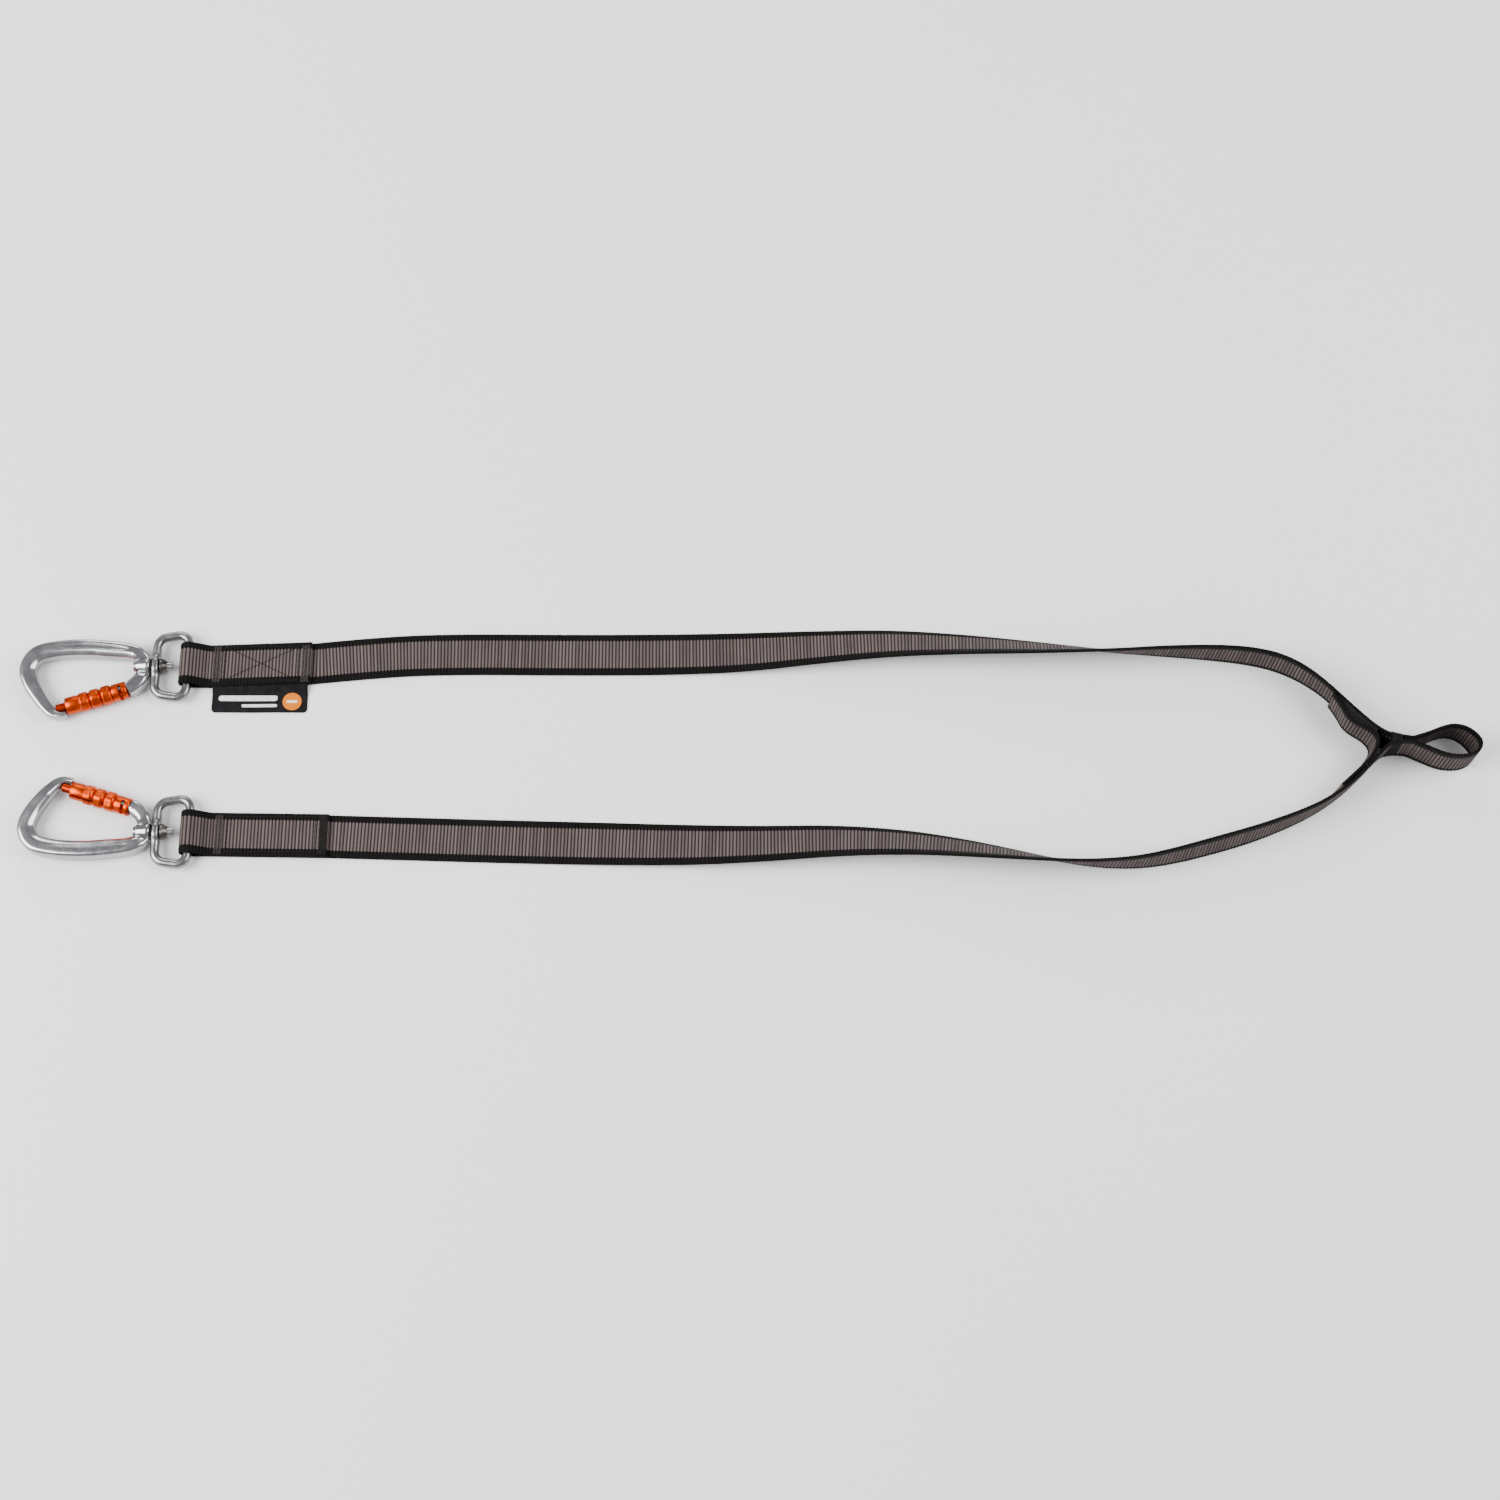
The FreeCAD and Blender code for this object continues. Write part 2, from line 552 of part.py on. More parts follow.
CARABINER_PIECES = {
    "carabiner_frame": carabiner_frame,
    "swivel_rivet": swivel_rivet,
    "swivel_washer": swivel_washer,
    "swivel_collar": swivel_collar,
    "gate_hinge_pin": gate_hinge_pin,
    "gate_barrel": gate_barrel,
    "gate_spring": gate_spring,
    "guide_pin": guide_pin,
    "lock_sleeve": lock_sleeve,
    "sleeve_spring": sleeve_spring,
}


def place_side(shape, side):
    """Move a carabiner piece from the eye's centre to its side, turned over on side b."""
    placed = shape.copy()
    if side["turned"]:
        placed.rotate(V(0, 0, 0), X_AXIS, 180)
    placed.translate(side["eye"])
    return placed


for piece, build in CARABINER_PIECES.items():
    master = build()
    for letter, side in SIDES.items():
        export(piece + "_" + letter, place_side(master, side))

ring = swivel_ring()
for letter, side in SIDES.items():
    export("swivel_ring_" + letter, place_side(ring, side))
    export("ring_fold_" + letter, ring_fold(side))
    export("ring_stitching_" + letter, ring_stitching(side))

export("webbing_arm_a", webbing("webbing_arm_a", ARM_A, 8, X_AXIS, X_AXIS))
export("webbing_arm_b", webbing("webbing_arm_b", ARM_B, 8, X_AXIS, X_AXIS))
export("handle_loop", webbing("handle_loop", LOOP, 2, X_AXIS, -X_AXIS))
export("throat_reinforcement", webbing("throat_reinforcement", REINFORCEMENT, 2))
export("throat_stitching", throat_stitching())
export("label_tag", label_tag())
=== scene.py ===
import math

import bmesh
import bpy
import numpy as np
from mathutils import Matrix, Vector


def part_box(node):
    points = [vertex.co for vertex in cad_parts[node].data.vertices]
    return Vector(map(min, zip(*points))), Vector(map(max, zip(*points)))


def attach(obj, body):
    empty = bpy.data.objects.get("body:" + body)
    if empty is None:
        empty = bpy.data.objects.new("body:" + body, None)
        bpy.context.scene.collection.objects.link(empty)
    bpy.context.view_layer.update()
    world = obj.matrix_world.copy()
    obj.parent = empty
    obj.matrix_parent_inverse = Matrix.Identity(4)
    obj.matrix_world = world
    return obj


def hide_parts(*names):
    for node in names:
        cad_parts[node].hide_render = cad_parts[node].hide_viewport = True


# A two-dog lead coupler lying on a white floor. The CAD frame gives the rivets, washers, collars,
# pins, gate barrels and springs. This script makes the webbing, the stitching, the label, the
# forged carabiner bodies, the swivel rings and the knurled sleeves round them. Routes and places
# are in metres; pieces of a carabiner are drawn in millimetres from the centre of its ring's eye.

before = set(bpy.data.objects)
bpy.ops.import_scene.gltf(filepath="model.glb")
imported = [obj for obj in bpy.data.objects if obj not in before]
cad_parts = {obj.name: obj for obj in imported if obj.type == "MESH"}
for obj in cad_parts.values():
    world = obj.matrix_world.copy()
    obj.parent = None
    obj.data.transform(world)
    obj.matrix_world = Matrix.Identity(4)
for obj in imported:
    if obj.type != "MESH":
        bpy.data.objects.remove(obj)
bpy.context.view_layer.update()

# ---- driving dimensions -------------------------------------------------------------------
MM = 0.001
WEB_WIDTH = 0.023
WEB_THICK = 0.0018
LAYER_GAP = {"a": 0.0006, "b": 0.00005}    # between the sewn layers; side a's holds the label
LAYOUT_SHIFT = Vector((0.0036, 0.00035, 0.00007))
RIB_PITCH = 0.00175
ROWS_PER_RIB = 6
RIB_DEPTH = 0.00016
SELVEDGE = 0.0040
THREAD = 0.00019                           # radius of the sewing thread
RING_BAR_X = 0.0165                        # from the ring's eye to its bar in the webbing
RING_GAP = 0.0003                          # between the bar and the webbing round it

# Swivel ring, in mm.
RING_STOCK = 4.8
RING_EYE_RADIUS = 4.2
RING_EYE_BEND = 6.1                        # radius of the two bends beside the eye
RING_EYE_BEND_Y = 10.3
RING_BAR_BEND = 5.0                        # radius of the two bends beside the webbing's bar
RING_BAR_BEND_Y = 12.2

# The webbing's routes, as in the CAD: x, y and roll, where 0 is flat and 90 stands on edge.
ARM_A = [
    (-0.228, 0.0472, 0), (-0.190, 0.0514, 0), (-0.148, 0.0527, 0), (-0.098, 0.0522, 0),
    (-0.050, 0.0523, 0), (-0.006, 0.0530, 5), (0.034, 0.0549, 21), (0.072, 0.0565, 32),
    (0.110, 0.0553, 43), (0.148, 0.0529, 55), (0.184, 0.0507, 69), (0.214, 0.0503, 80),
    (0.240, 0.0494, 87), (0.258, 0.0476, 90), (0.272, 0.0442, 90), (0.284, 0.0382, 88),
    (0.295, 0.0296, 84), (0.305, 0.0189, 84), (0.3135, 0.0099, 85), (0.3203, 0.0034, 87),
    (0.327, -0.0001, 90), (0.336, -0.00105, 90),
]
ARM_B = [
    (-0.214, -0.0472, 0), (-0.176, -0.0483, 0), (-0.128, -0.0498, 0), (-0.080, -0.0510, 1),
    (-0.034, -0.0523, 9), (0.004, -0.0524, 20), (0.042, -0.0511, 30), (0.075, -0.0522, 40),
    (0.101, -0.0549, 49), (0.126, -0.0585, 59), (0.151, -0.0624, 71), (0.174, -0.0647, 81),
    (0.195, -0.0641, 88), (0.213, -0.0608, 93), (0.233, -0.0554, 95), (0.254, -0.0492, 94),
    (0.273, -0.0420, 91), (0.288, -0.0349, 88), (0.300, -0.0268, 87), (0.310, -0.0178, 87),
    (0.317, -0.0104, 87), (0.322, -0.0052, 88), (0.3272, -0.00205, 90), (0.336, -0.00295, 90),
]
LOOP = [
    (0.336, -0.00105, 90), (0.3435, 0.0013, 89), (0.350, 0.0045, 87), (0.356, 0.0064, 86),
    (0.362, 0.0056, 87), (0.367, 0.0022, 89), (0.3704, -0.0024, 90), (0.3696, -0.0072, 90),
    (0.3648, -0.0103, 90), (0.358, -0.0112, 90), (0.3505, -0.0098, 90), (0.3435, -0.0064, 90),
    (0.336, -0.00295, 90),
]
REINFORCEMENT = [
    (0.2983, 0.0233, 84), (0.3022, 0.0170, 84), (0.3044, 0.0112, 84), (0.3090, 0.0072, 85),
    (0.3152, 0.0039, 87), (0.3192, -0.0016, 90), (0.3150, -0.0094, 93), (0.3090, -0.0158, 93),
    (0.3038, -0.0206, 93), (0.2984, -0.0254, 93),
]
FOLD_Y = {"a": 0.0453, "b": -0.0464}       # middle of the webbing where it goes round the ring

# Carabiner, in mm from the eye's centre: the bar's line with its width, then the gate.
FRAME_LINE = [
    (-13.2, -13.2, 7.6), (-9.6, -10.6, 7.8), (-6.6, -6.2, 7.2), (-5.9, 0.0, 6.4), (-7.6, 5.0, 7.4),
    (-13.0, 7.7, 8.0), (-24.0, 9.0, 8.8), (-37.0, 9.8, 8.9), (-51.0, 9.0, 8.9), (-61.4, 6.0, 9.0),
    (-65.8, -1.6, 8.6), (-63.6, -10.0, 8.0), (-58.8, -17.6, 7.2), (-54.4, -23.0, 6.2),
    (-51.0, -26.1, 5.0), (-47.6, -27.3, 3.5), (-44.2, -26.9, 2.6),
]
FRAME_THICK = 8.4
BOSS_LEFT = -8.85                          # the rivet head's seat inside the boss
BOSS_RIGHT = -2.9
RIVET_RADIUS = 2.0
RIVET_HEAD_BORE = 3.3
HINGE = (-11.1, -12.0, 0.0)
KNUCKLE_BORE = 3.3                         # radius cleared round the gate's hinge tongue
FORK_LOW = -1.65                           # the fork's slot for the tongue, along the hinge
FORK_HIGH = 1.85
SWING_CLEARANCE = 0.35                     # round the barrel's tip and the sleeve
GATE_TILT = 17.4
GATE_OPENING = 27.0
HINGE_PIN_RADIUS = 1.0
BARREL_RADIUS = 2.4
BARREL_TIP = -40.2
SLEEVE_START = -34.8
SLEEVE_END = -2.9
SLEEVE_RADIUS = 4.6
SLEEVE_COLLAR = 6.6                        # plain length before the first ring of the knurl
KNURL_RADIUS = 5.15
GROOVE_RADIUS = 3.75
KNURL_PITCH = 5.85
KNURL_COUNT = 3
FACETS = 6
FACET_DEPTH = 0.24
FINE_RIBS = 40
FINE_RIB_DEPTH = 0.09
GUIDE_PIN_U = -6.2
GUIDE_SLOT_WIDTH = 1.8
OPENING_SLOT_ANGLE = 319.0

EYE = {}
for letter in "ab":
    ring_low, ring_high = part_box("swivel_ring_" + letter)
    EYE[letter] = Vector((ring_low.x + RING_STOCK * MM / 2, (ring_low.y + ring_high.y) / 2,
                          (ring_low.z + ring_high.z) / 2))

# ---- camera -------------------------------------------------------------------------------
CAMERA_ELEVATION = math.radians(70)
CAMERA_DISTANCE = 1.3077


def make_camera():
    """Looks down at the lead from its long side."""
    data = bpy.data.cameras.new("camera")
    data.lens = 61
    data.sensor_width = 36
    data.clip_start = 0.01
    data.clip_end = 20
    camera = bpy.data.objects.new("camera", data)
    bpy.context.scene.collection.objects.link(camera)
    back = Vector((0, -math.cos(CAMERA_ELEVATION), math.sin(CAMERA_ELEVATION)))
    target = Vector((LAYOUT_SHIFT.x, LAYOUT_SHIFT.y, 0))
    camera.location = target + back * CAMERA_DISTANCE
    camera.rotation_euler = (-back).to_track_quat("-Z", "Y").to_euler()
    bpy.context.scene.camera = camera


make_camera()


# ---- mesh helpers -------------------------------------------------------------------------
def new_object(name, verts, faces):
    """A smooth mesh object linked to the scene, its faces turned outwards."""
    mesh = bpy.data.meshes.new(name)
    mesh.from_pydata([tuple(v) for v in verts], [], [tuple(f) for f in faces])
    work = bmesh.new()
    work.from_mesh(mesh)
    bmesh.ops.recalc_face_normals(work, faces=work.faces)
    work.to_mesh(mesh)
    work.free()
    mesh.update()
    mesh.shade_smooth()
    obj = bpy.data.objects.new(name, mesh)
    bpy.context.scene.collection.objects.link(obj)
    return obj


def grid_faces(rows, columns, closed_rows=False, closed_columns=False):
    """Quads between neighbouring rows of a grid of points."""
    i = np.arange(rows if closed_rows else rows - 1)
    j = np.arange(columns if closed_columns else columns - 1)
    i, j = np.meshgrid(i, j, indexing="ij")
    below = (i + 1) % rows
    right = (j + 1) % columns
    quads = [i * columns + j, i * columns + right, below * columns + right, below * columns + j]
    return np.stack(quads, -1).reshape(-1, 4).tolist()


def capped_faces(rows, columns):
    """Quads round a tube of points, with one flat face at each end."""
    faces = grid_faces(rows, columns, closed_columns=True)
    faces.append(list(range(columns))[::-1])
    faces.append([(rows - 1) * columns + k for k in range(columns)])
    return faces


def joined(name, parts):
    """One object from several (points, faces) pairs."""
    verts = []
    faces = []
    for points, quads in parts:
        base = len(verts)
        verts += [tuple(p) for p in points]
        faces += [[base + k for k in quad] for quad in quads]
    return new_object(name, verts, faces)


def resampled(line, step):
    """Evenly spaced points along a line, and how far along each one is. More columns may
    follow x, y and z."""
    lengths = np.concatenate([[0], np.cumsum(np.linalg.norm(np.diff(line[:, :3], axis=0), axis=1))])
    count = max(2, round(lengths[-1] / step) + 1)
    places = np.linspace(0, lengths[-1], count)
    points = np.stack([np.interp(places, lengths, line[:, k]) for k in range(line.shape[1])], 1)
    return points, places


def unit(vectors):
    """The vectors at length 1."""
    return vectors / np.linalg.norm(vectors, axis=-1, keepdims=True)


def tube(path, radius, sides=6):
    """Points and faces of a thread along a path, closed at both ends."""
    path = np.asarray(path, float)
    tangent = unit(np.gradient(path, axis=0))
    reference = np.array([0.31, 0.22, 0.92])
    across = unit(np.cross(tangent, reference))
    up = np.cross(tangent, across)
    turn = np.linspace(0, 2 * math.pi, sides, endpoint=False)
    ring = across[:, None] * np.cos(turn)[None, :, None] + up[:, None] * np.sin(turn)[None, :, None]
    return (path[:, None] + ring * radius).reshape(-1, 3), capped_faces(len(path), sides)


def nurbs_line(points):
    """Points read from a smooth spline with these control points."""
    curve = bpy.data.curves.new("line", "CURVE")
    curve.dimensions = "3D"
    spline = curve.splines.new("NURBS")
    spline.points.add(len(points) - 1)
    for point, place in zip(spline.points, points):
        point.co = (*place, 1)
    spline.order_u = 3
    spline.use_endpoint_u = True
    spline.resolution_u = 24
    holder = bpy.data.objects.new("line", curve)
    bpy.context.scene.collection.objects.link(holder)
    bpy.context.view_layer.update()
    mesh = bpy.data.meshes.new_from_object(holder)
    line = np.array([v.co for v in mesh.vertices], float)
    bpy.data.objects.remove(holder)
    bpy.data.meshes.remove(mesh)
    bpy.data.curves.remove(curve)
    return line


# ---- webbing ------------------------------------------------------------------------------
def rise(roll):
    """How high the middle of the webbing is above the floor at a roll in radians."""
    return WEB_WIDTH / 2 * np.abs(np.sin(roll)) + WEB_THICK / 2 * np.abs(np.cos(roll))


def strap_outline():
    """One face of the webbing's section: distance from the middle, and half thickness."""
    half = WEB_WIDTH / 2
    crest = WEB_THICK / 2
    edge = [
        (half, 0), (half - 0.00008, 0.36 * crest), (half - 0.00032, 0.68 * crest),
        (half - 0.0007, 0.88 * crest), (half - 0.0013, crest), (half - 0.0024, crest),
        (half - SELVEDGE + 0.0002, 0.93 * crest), (half - SELVEDGE - 0.0003, 0.95 * crest),
    ]
    middle = [(0.0062, crest), (0.0032, crest), (0, crest)]
    side = edge + middle
    return np.array(side + [(-v, h) for v, h in reversed(side[:-1])])


def strap(name, centres, across, normal, along, replaced):
    """Ribbed webbing through rows of (centre, across, normal); along sets the ribs' phase."""
    face = strap_outline()
    v = np.concatenate([face[:, 0], face[-2:0:-1, 0]])
    h = np.concatenate([face[:, 1], -face[-2:0:-1, 1]])
    crest = (0.5 + 0.5 * np.cos(2 * math.pi * along / RIB_PITCH)) ** 0.7
    depth = (1 - crest)[:, None]
    inner = np.clip((WEB_WIDTH / 2 - np.abs(v)) / 0.0012, 0, 1)[None, :]
    lift = h[None, :] - np.sign(h)[None, :] * RIB_DEPTH * depth * (0.35 + 0.65 * inner)
    reach = v[None, :] - np.sign(v)[None, :] * 0.00016 * depth * (1 - inner)
    points = centres[:, None] + across[:, None] * reach[..., None] + normal[:, None] * lift[..., None]
    rows, columns = len(centres), len(v)
    obj = new_object(name, points.reshape(-1, 3), capped_faces(rows, columns))
    web = np.zeros((rows, columns, 3), np.float32)
    web[..., 0] = along[:, None] / MM
    web[..., 1] = reach / MM
    web[..., 2] = np.sign(h)[None, :]
    store = obj.data.attributes.new("web", "FLOAT_VECTOR", "POINT")
    store.data.foreach_set("vector", web.reshape(-1))
    obj.data.materials.append(WEBBING)
    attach(obj, "lead")
    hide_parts(replaced)
    return obj


def route_strap(name, route, replaced, start_facing=None, end_facing=None, phase=0.0):
    """Webbing along a given route, its lower edge on the floor all along."""
    line = nurbs_line([(x, y, rise(math.radians(roll))) for x, y, roll in route])
    rolls = nurbs_line([(math.radians(roll), 0, 0) for _, _, roll in route])[:, 0]
    line[:, 2] = rise(rolls)
    packed, along = resampled(np.column_stack([line, rolls]), RIB_PITCH / ROWS_PER_RIB)
    centres, rolls = packed[:, :3], packed[:, 3]
    tangent = unit(np.gradient(centres, axis=0))
    for facing, away in ((start_facing, along), (end_facing, along[-1] - along)):
        if facing is not None:
            share = np.clip(1 - away / 0.009, 0, 1)[:, None]
            share = share * share * (3 - 2 * share)
            tangent = unit(tangent * (1 - share) + np.array(facing) * share)
    up = np.array([0, 0, 1.0])
    left = unit(np.cross(up, tangent))
    across = left * np.cos(rolls)[:, None] - up * np.sin(rolls)[:, None]
    across = unit(across - tangent * np.sum(across * tangent, 1, keepdims=True))
    normal = np.cross(tangent, across)
    centres = centres + np.array(LAYOUT_SHIFT)
    obj = strap(name, centres, across, normal, along + phase, replaced)
    return obj, centres


def fold_strap(letter, arm):
    """The sewn end: in along the floor, round the ring's bar and back on top of itself."""
    eye = EYE[letter]
    bar = Vector((eye.x + RING_BAR_X, 0, eye.z))
    wrap = RING_STOCK * MM / 2 + RING_GAP + WEB_THICK / 2
    floor = LAYOUT_SHIFT.z
    low_z = WEB_THICK / 2 + floor
    top_z = low_z + WEB_THICK + LAYER_GAP[letter]
    end_x = arm[0][0] + LAYOUT_SHIFT.x
    low_knee = Vector((bar.x + 0.012, 0, low_z))
    top_knee = Vector((bar.x + 0.0105, 0, top_z))

    def touch(target, sign):
        reach = target - bar
        return math.atan2(reach.z, reach.x) + sign * math.acos(wrap / math.hypot(reach.x, reach.z))

    low_angle = touch(low_knee, -1)
    top_angle = touch(top_knee, 1) - 2 * math.pi
    turns = np.linspace(low_angle, top_angle, 40)
    bend = [(bar.x + math.cos(t) * wrap, 0, bar.z + math.sin(t) * wrap) for t in turns]
    line = [(end_x, 0, low_z), (low_knee.x + 0.002, 0, low_z)]
    line += [(low_knee.x, 0, low_z)] + bend + [(top_knee.x, 0, top_z + 0.00004)]
    line += [(top_knee.x + 0.002, 0, top_z), (end_x, 0, top_z)]
    points, along = resampled(np.array(line), RIB_PITCH / ROWS_PER_RIB)
    blur = np.ones(9) / 9
    soft = np.stack([np.convolve(np.pad(points[:, k], 4, "edge"), blur, "valid") for k in (0, 2)], 1)
    inside = slice(5, -5)
    points[inside, 0] = soft[inside, 0]
    points[inside, 2] = soft[inside, 1]
    slant = (arm[0][1] - FOLD_Y[letter]) / (end_x - low_knee.x)
    points[:, 1] = FOLD_Y[letter] + LAYOUT_SHIFT.y + np.maximum(points[:, 0] - low_knee.x, 0) * slant
    tangent = unit(np.gradient(points * np.array([1, 0, 1]), axis=0))
    across = np.tile([0.0, 1.0, 0.0], (len(points), 1))
    normal = np.cross(tangent, across)
    return strap("fold_webbing_" + letter, points, across, normal, -along, "ring_fold_" + letter)


# ---- materials ----------------------------------------------------------------------------
class Look:
    """A material's node tree, with short calls for the nodes used here."""

    def __init__(self, name):
        self.material = bpy.data.materials.new(name)
        self.material.use_nodes = True
        self.tree = self.material.node_tree
        self.shader = self.tree.nodes["Principled BSDF"]

    def node(self, kind, **settings):
        made = self.tree.nodes.new(kind)
        for key, value in settings.items():
            setattr(made, key, value)
        return made

    def feed(self, socket, value):
        """Link another node's output into a socket, or set it to a constant."""
        if isinstance(value, bpy.types.NodeSocket):
            self.tree.links.new(value, socket)
        else:
            socket.default_value = value

    def math(self, operation, *values):
        made = self.node("ShaderNodeMath", operation=operation)
        for socket, value in zip(made.inputs, values):
            self.feed(socket, value)
        return made.outputs[0]

    def ramp(self, value, low, high, to_low=0.0, to_high=1.0):
        """A smooth step from to_low to to_high as the value goes from low to high."""
        made = self.node("ShaderNodeMapRange", interpolation_type="SMOOTHSTEP")
        for socket, part in zip(made.inputs, (value, low, high, to_low, to_high)):
            self.feed(socket, part)
        return made.outputs[0]

    def mix(self, share, first, second):
        made = self.node("ShaderNodeMix", data_type="RGBA")
        self.feed(made.inputs[0], share)
        self.feed(made.inputs[6], first)
        self.feed(made.inputs[7], second)
        return made.outputs[2]

    def noise(self, scale, detail=2.0):
        made = self.node("ShaderNodeTexNoise")
        self.feed(made.inputs["Vector"], self.node("ShaderNodeTexCoord").outputs["Object"])
        made.inputs["Scale"].default_value = scale
        made.inputs["Detail"].default_value = detail
        return made.outputs[0]

    def bump(self, height, strength, distance):
        made = self.node("ShaderNodeBump")
        made.inputs["Strength"].default_value = strength
        made.inputs["Distance"].default_value = distance
        self.feed(made.inputs["Height"], height)
        self.feed(self.shader.inputs["Normal"], made.outputs[0])

    def set(self, **values):
        """Feed the shader's own sockets, named as in base_color."""
        for key, value in values.items():
            self.feed(self.shader.inputs[key.replace("_", " ").title().replace("Ior", "IOR")], value)
        return self.material


def webbing_look():
    """Cross-ribbed weave: grey ribs whose grooves are darkened as painted shade, black selvedges, single
    warp yarns.
    """
    look = Look("webbing")
    web = look.node("ShaderNodeSeparateXYZ")
    look.feed(web.inputs[0], look.node("ShaderNodeAttribute", attribute_name="web").outputs["Vector"])
    along, across = web.outputs[0], web.outputs[1]
    pitch = RIB_PITCH / MM
    wave = look.math("COSINE", look.math("MULTIPLY", along, 2 * math.pi / pitch))
    rib = look.math("FLOOR", look.math("ADD", look.math("DIVIDE", along, pitch), 0.5))
    chance = look.node("ShaderNodeTexWhiteNoise", noise_dimensions="1D")
    look.feed(chance.inputs["W"], rib)
    yarn = look.math("COSINE", look.math("MULTIPLY", across, 2 * math.pi / 0.66))
    away = look.math("ABSOLUTE", across)
    toothed = look.math("ADD", away, look.math("MULTIPLY", wave, -0.22))
    limit = (WEB_WIDTH / 2 - SELVEDGE) / MM
    selvedge = look.ramp(toothed, limit - 0.12, limit + 0.12)
    patches = look.noise(90.0, 3.0)
    grey = look.mix(chance.outputs["Value"], (0.076, 0.059, 0.056, 1), (0.122, 0.096, 0.092, 1))
    grey = look.mix(look.ramp(patches, 0.35, 0.7, 0.0, 0.35), grey, (0.132, 0.105, 0.100, 1))
    # The grooves between the ribs and the dips between the warp yarns get a far darker colour, on the grey
    # middle and on the black selvedges alike: this is painted shade in the recesses.
    crest = look.ramp(look.math("ADD", wave, look.math("MULTIPLY", yarn, 0.25)), -0.9, 0.4)
    centre = look.mix(crest, (0.015, 0.012, 0.011, 1), grey)
    black = look.mix(crest, (0.0015, 0.0012, 0.0012, 1), (0.006, 0.005, 0.0048, 1))
    look.set(base_color=look.mix(selvedge, centre, black))
    look.set(roughness=look.ramp(patches, 0.2, 0.8, 0.72, 0.9))
    fibres = look.math("MULTIPLY", look.noise(2600.0, 3.0), 0.5)
    height = look.math("ADD", look.math("MULTIPLY", yarn, 0.5), look.math("ADD", wave, fibres))
    look.bump(height, 0.6, 0.00007)
    return look.set(sheen_weight=0.01, sheen_roughness=0.45, specular_ior_level=0.08)


def thread_look(name, dark, light):
    """Bonded polyester thread: a twisted strand with a little sheen."""
    look = Look(name)
    strand = look.noise(1800.0, 2.0)
    look.set(base_color=look.mix(look.ramp(strand, 0.35, 0.65), dark, light))
    look.set(roughness=look.ramp(strand, 0.2, 0.8, 0.5, 0.75))
    look.bump(strand, 0.5, 0.00005)
    return look.set(sheen_weight=0.01, sheen_roughness=0.4, specular_ior_level=0.12)


def label_look(name, dark, light, roughness):
    """Fine woven label cloth: over-and-under cells about a fifth of a millimetre wide."""
    look = Look(name)
    place = look.node("ShaderNodeSeparateXYZ")
    look.feed(place.inputs[0], look.node("ShaderNodeTexCoord").outputs["Object"])
    warp = look.math("SINE", look.math("MULTIPLY", place.outputs[0], 2 * math.pi / 0.00042))
    weft = look.math("SINE", look.math("MULTIPLY", place.outputs[1], 2 * math.pi / 0.00036))
    cell = look.math("MULTIPLY", warp, weft)
    shade = look.math("ADD", look.math("MULTIPLY", cell, 0.3), look.noise(300.0, 3.0))
    look.set(base_color=look.mix(look.ramp(shade, 0.2, 0.85), dark, light))
    look.set(roughness=look.ramp(shade, 0, 1, roughness, roughness + 0.12))
    look.bump(cell, 0.35, 0.00004)
    return look.set(sheen_weight=0.005, sheen_roughness=0.5, specular_ior_level=0.08)


def metal_look(name, dark, light, smoothness, grain, bump):
    """Metal with cloudy gloss and a fine grain."""
    look = Look(name)
    clouds = look.noise(120.0, 3.0)
    fine = look.noise(grain, 3.0)
    low, high = smoothness
    look.set(base_color=look.mix(look.ramp(clouds, 0.3, 0.7), dark, light), metallic=1.0)
    blend = look.math("ADD", look.math("MULTIPLY", clouds, 0.5), look.math("MULTIPLY", fine, 0.5))
    look.set(roughness=look.ramp(blend, 0.3, 0.7, low, high))
    look.bump(fine, bump, 0.00002)
    return look.material


def anodised_look(name, dark, light):
    """Satin dyed aluminium with a fine grain and a thin clear coat."""
    look = Look(name)
    clouds = look.noise(220.0, 2.0)
    fine = look.noise(5200.0, 2.0)
    look.set(base_color=look.mix(look.ramp(clouds, 0.3, 0.7), dark, light), metallic=1.0)
    look.set(roughness=look.ramp(fine, 0.3, 0.7, 0.30, 0.42))
    look.set(coat_weight=0.05, coat_roughness=0.15)
    look.bump(fine, 0.12, 0.00002)
    return look.material


WEBBING = webbing_look()
THREAD_DARK = thread_look("thread_dark", (0.004, 0.0035, 0.003, 1), (0.016, 0.014, 0.013, 1))
THREAD_GREY = thread_look("thread_grey", (0.022, 0.018, 0.017, 1), (0.075, 0.063, 0.059, 1))
LABEL_CLOTH = label_look("label_cloth", (0.004, 0.004, 0.005, 1), (0.014, 0.014, 0.015, 1), 0.78)
PRINT_WHITE = label_look("label_print_white", (0.62, 0.62, 0.62, 1), (0.82, 0.82, 0.82, 1), 0.55)
PRINT_ORANGE = label_look("label_print_orange", (0.62, 0.15, 0.0005, 1), (0.70, 0.18, 0.0005, 1), 0.5)
ALUMINIUM = metal_look("forged_aluminium", (0.33, 0.33, 0.34, 1), (0.43, 0.43, 0.44, 1),
                       (0.14, 0.25), 4200.0, 0.25)
SATIN_STEEL = metal_look("satin_steel", (0.19, 0.19, 0.192, 1), (0.27, 0.27, 0.273, 1),
                         (0.22, 0.33), 5200.0, 0.3)
PLATED_STEEL = metal_look("plated_steel", (0.26, 0.26, 0.27, 1), (0.36, 0.36, 0.37, 1),
                          (0.16, 0.26), 4200.0, 0.2)
DARK_STEEL = metal_look("dark_steel", (0.060, 0.056, 0.052, 1), (0.150, 0.138, 0.128, 1),
                        (0.24, 0.38), 4200.0, 0.3)
SPRING_STEEL = metal_look("spring_steel", (0.22, 0.22, 0.225, 1), (0.32, 0.32, 0.325, 1),
                          (0.28, 0.42), 6000.0, 0.2)
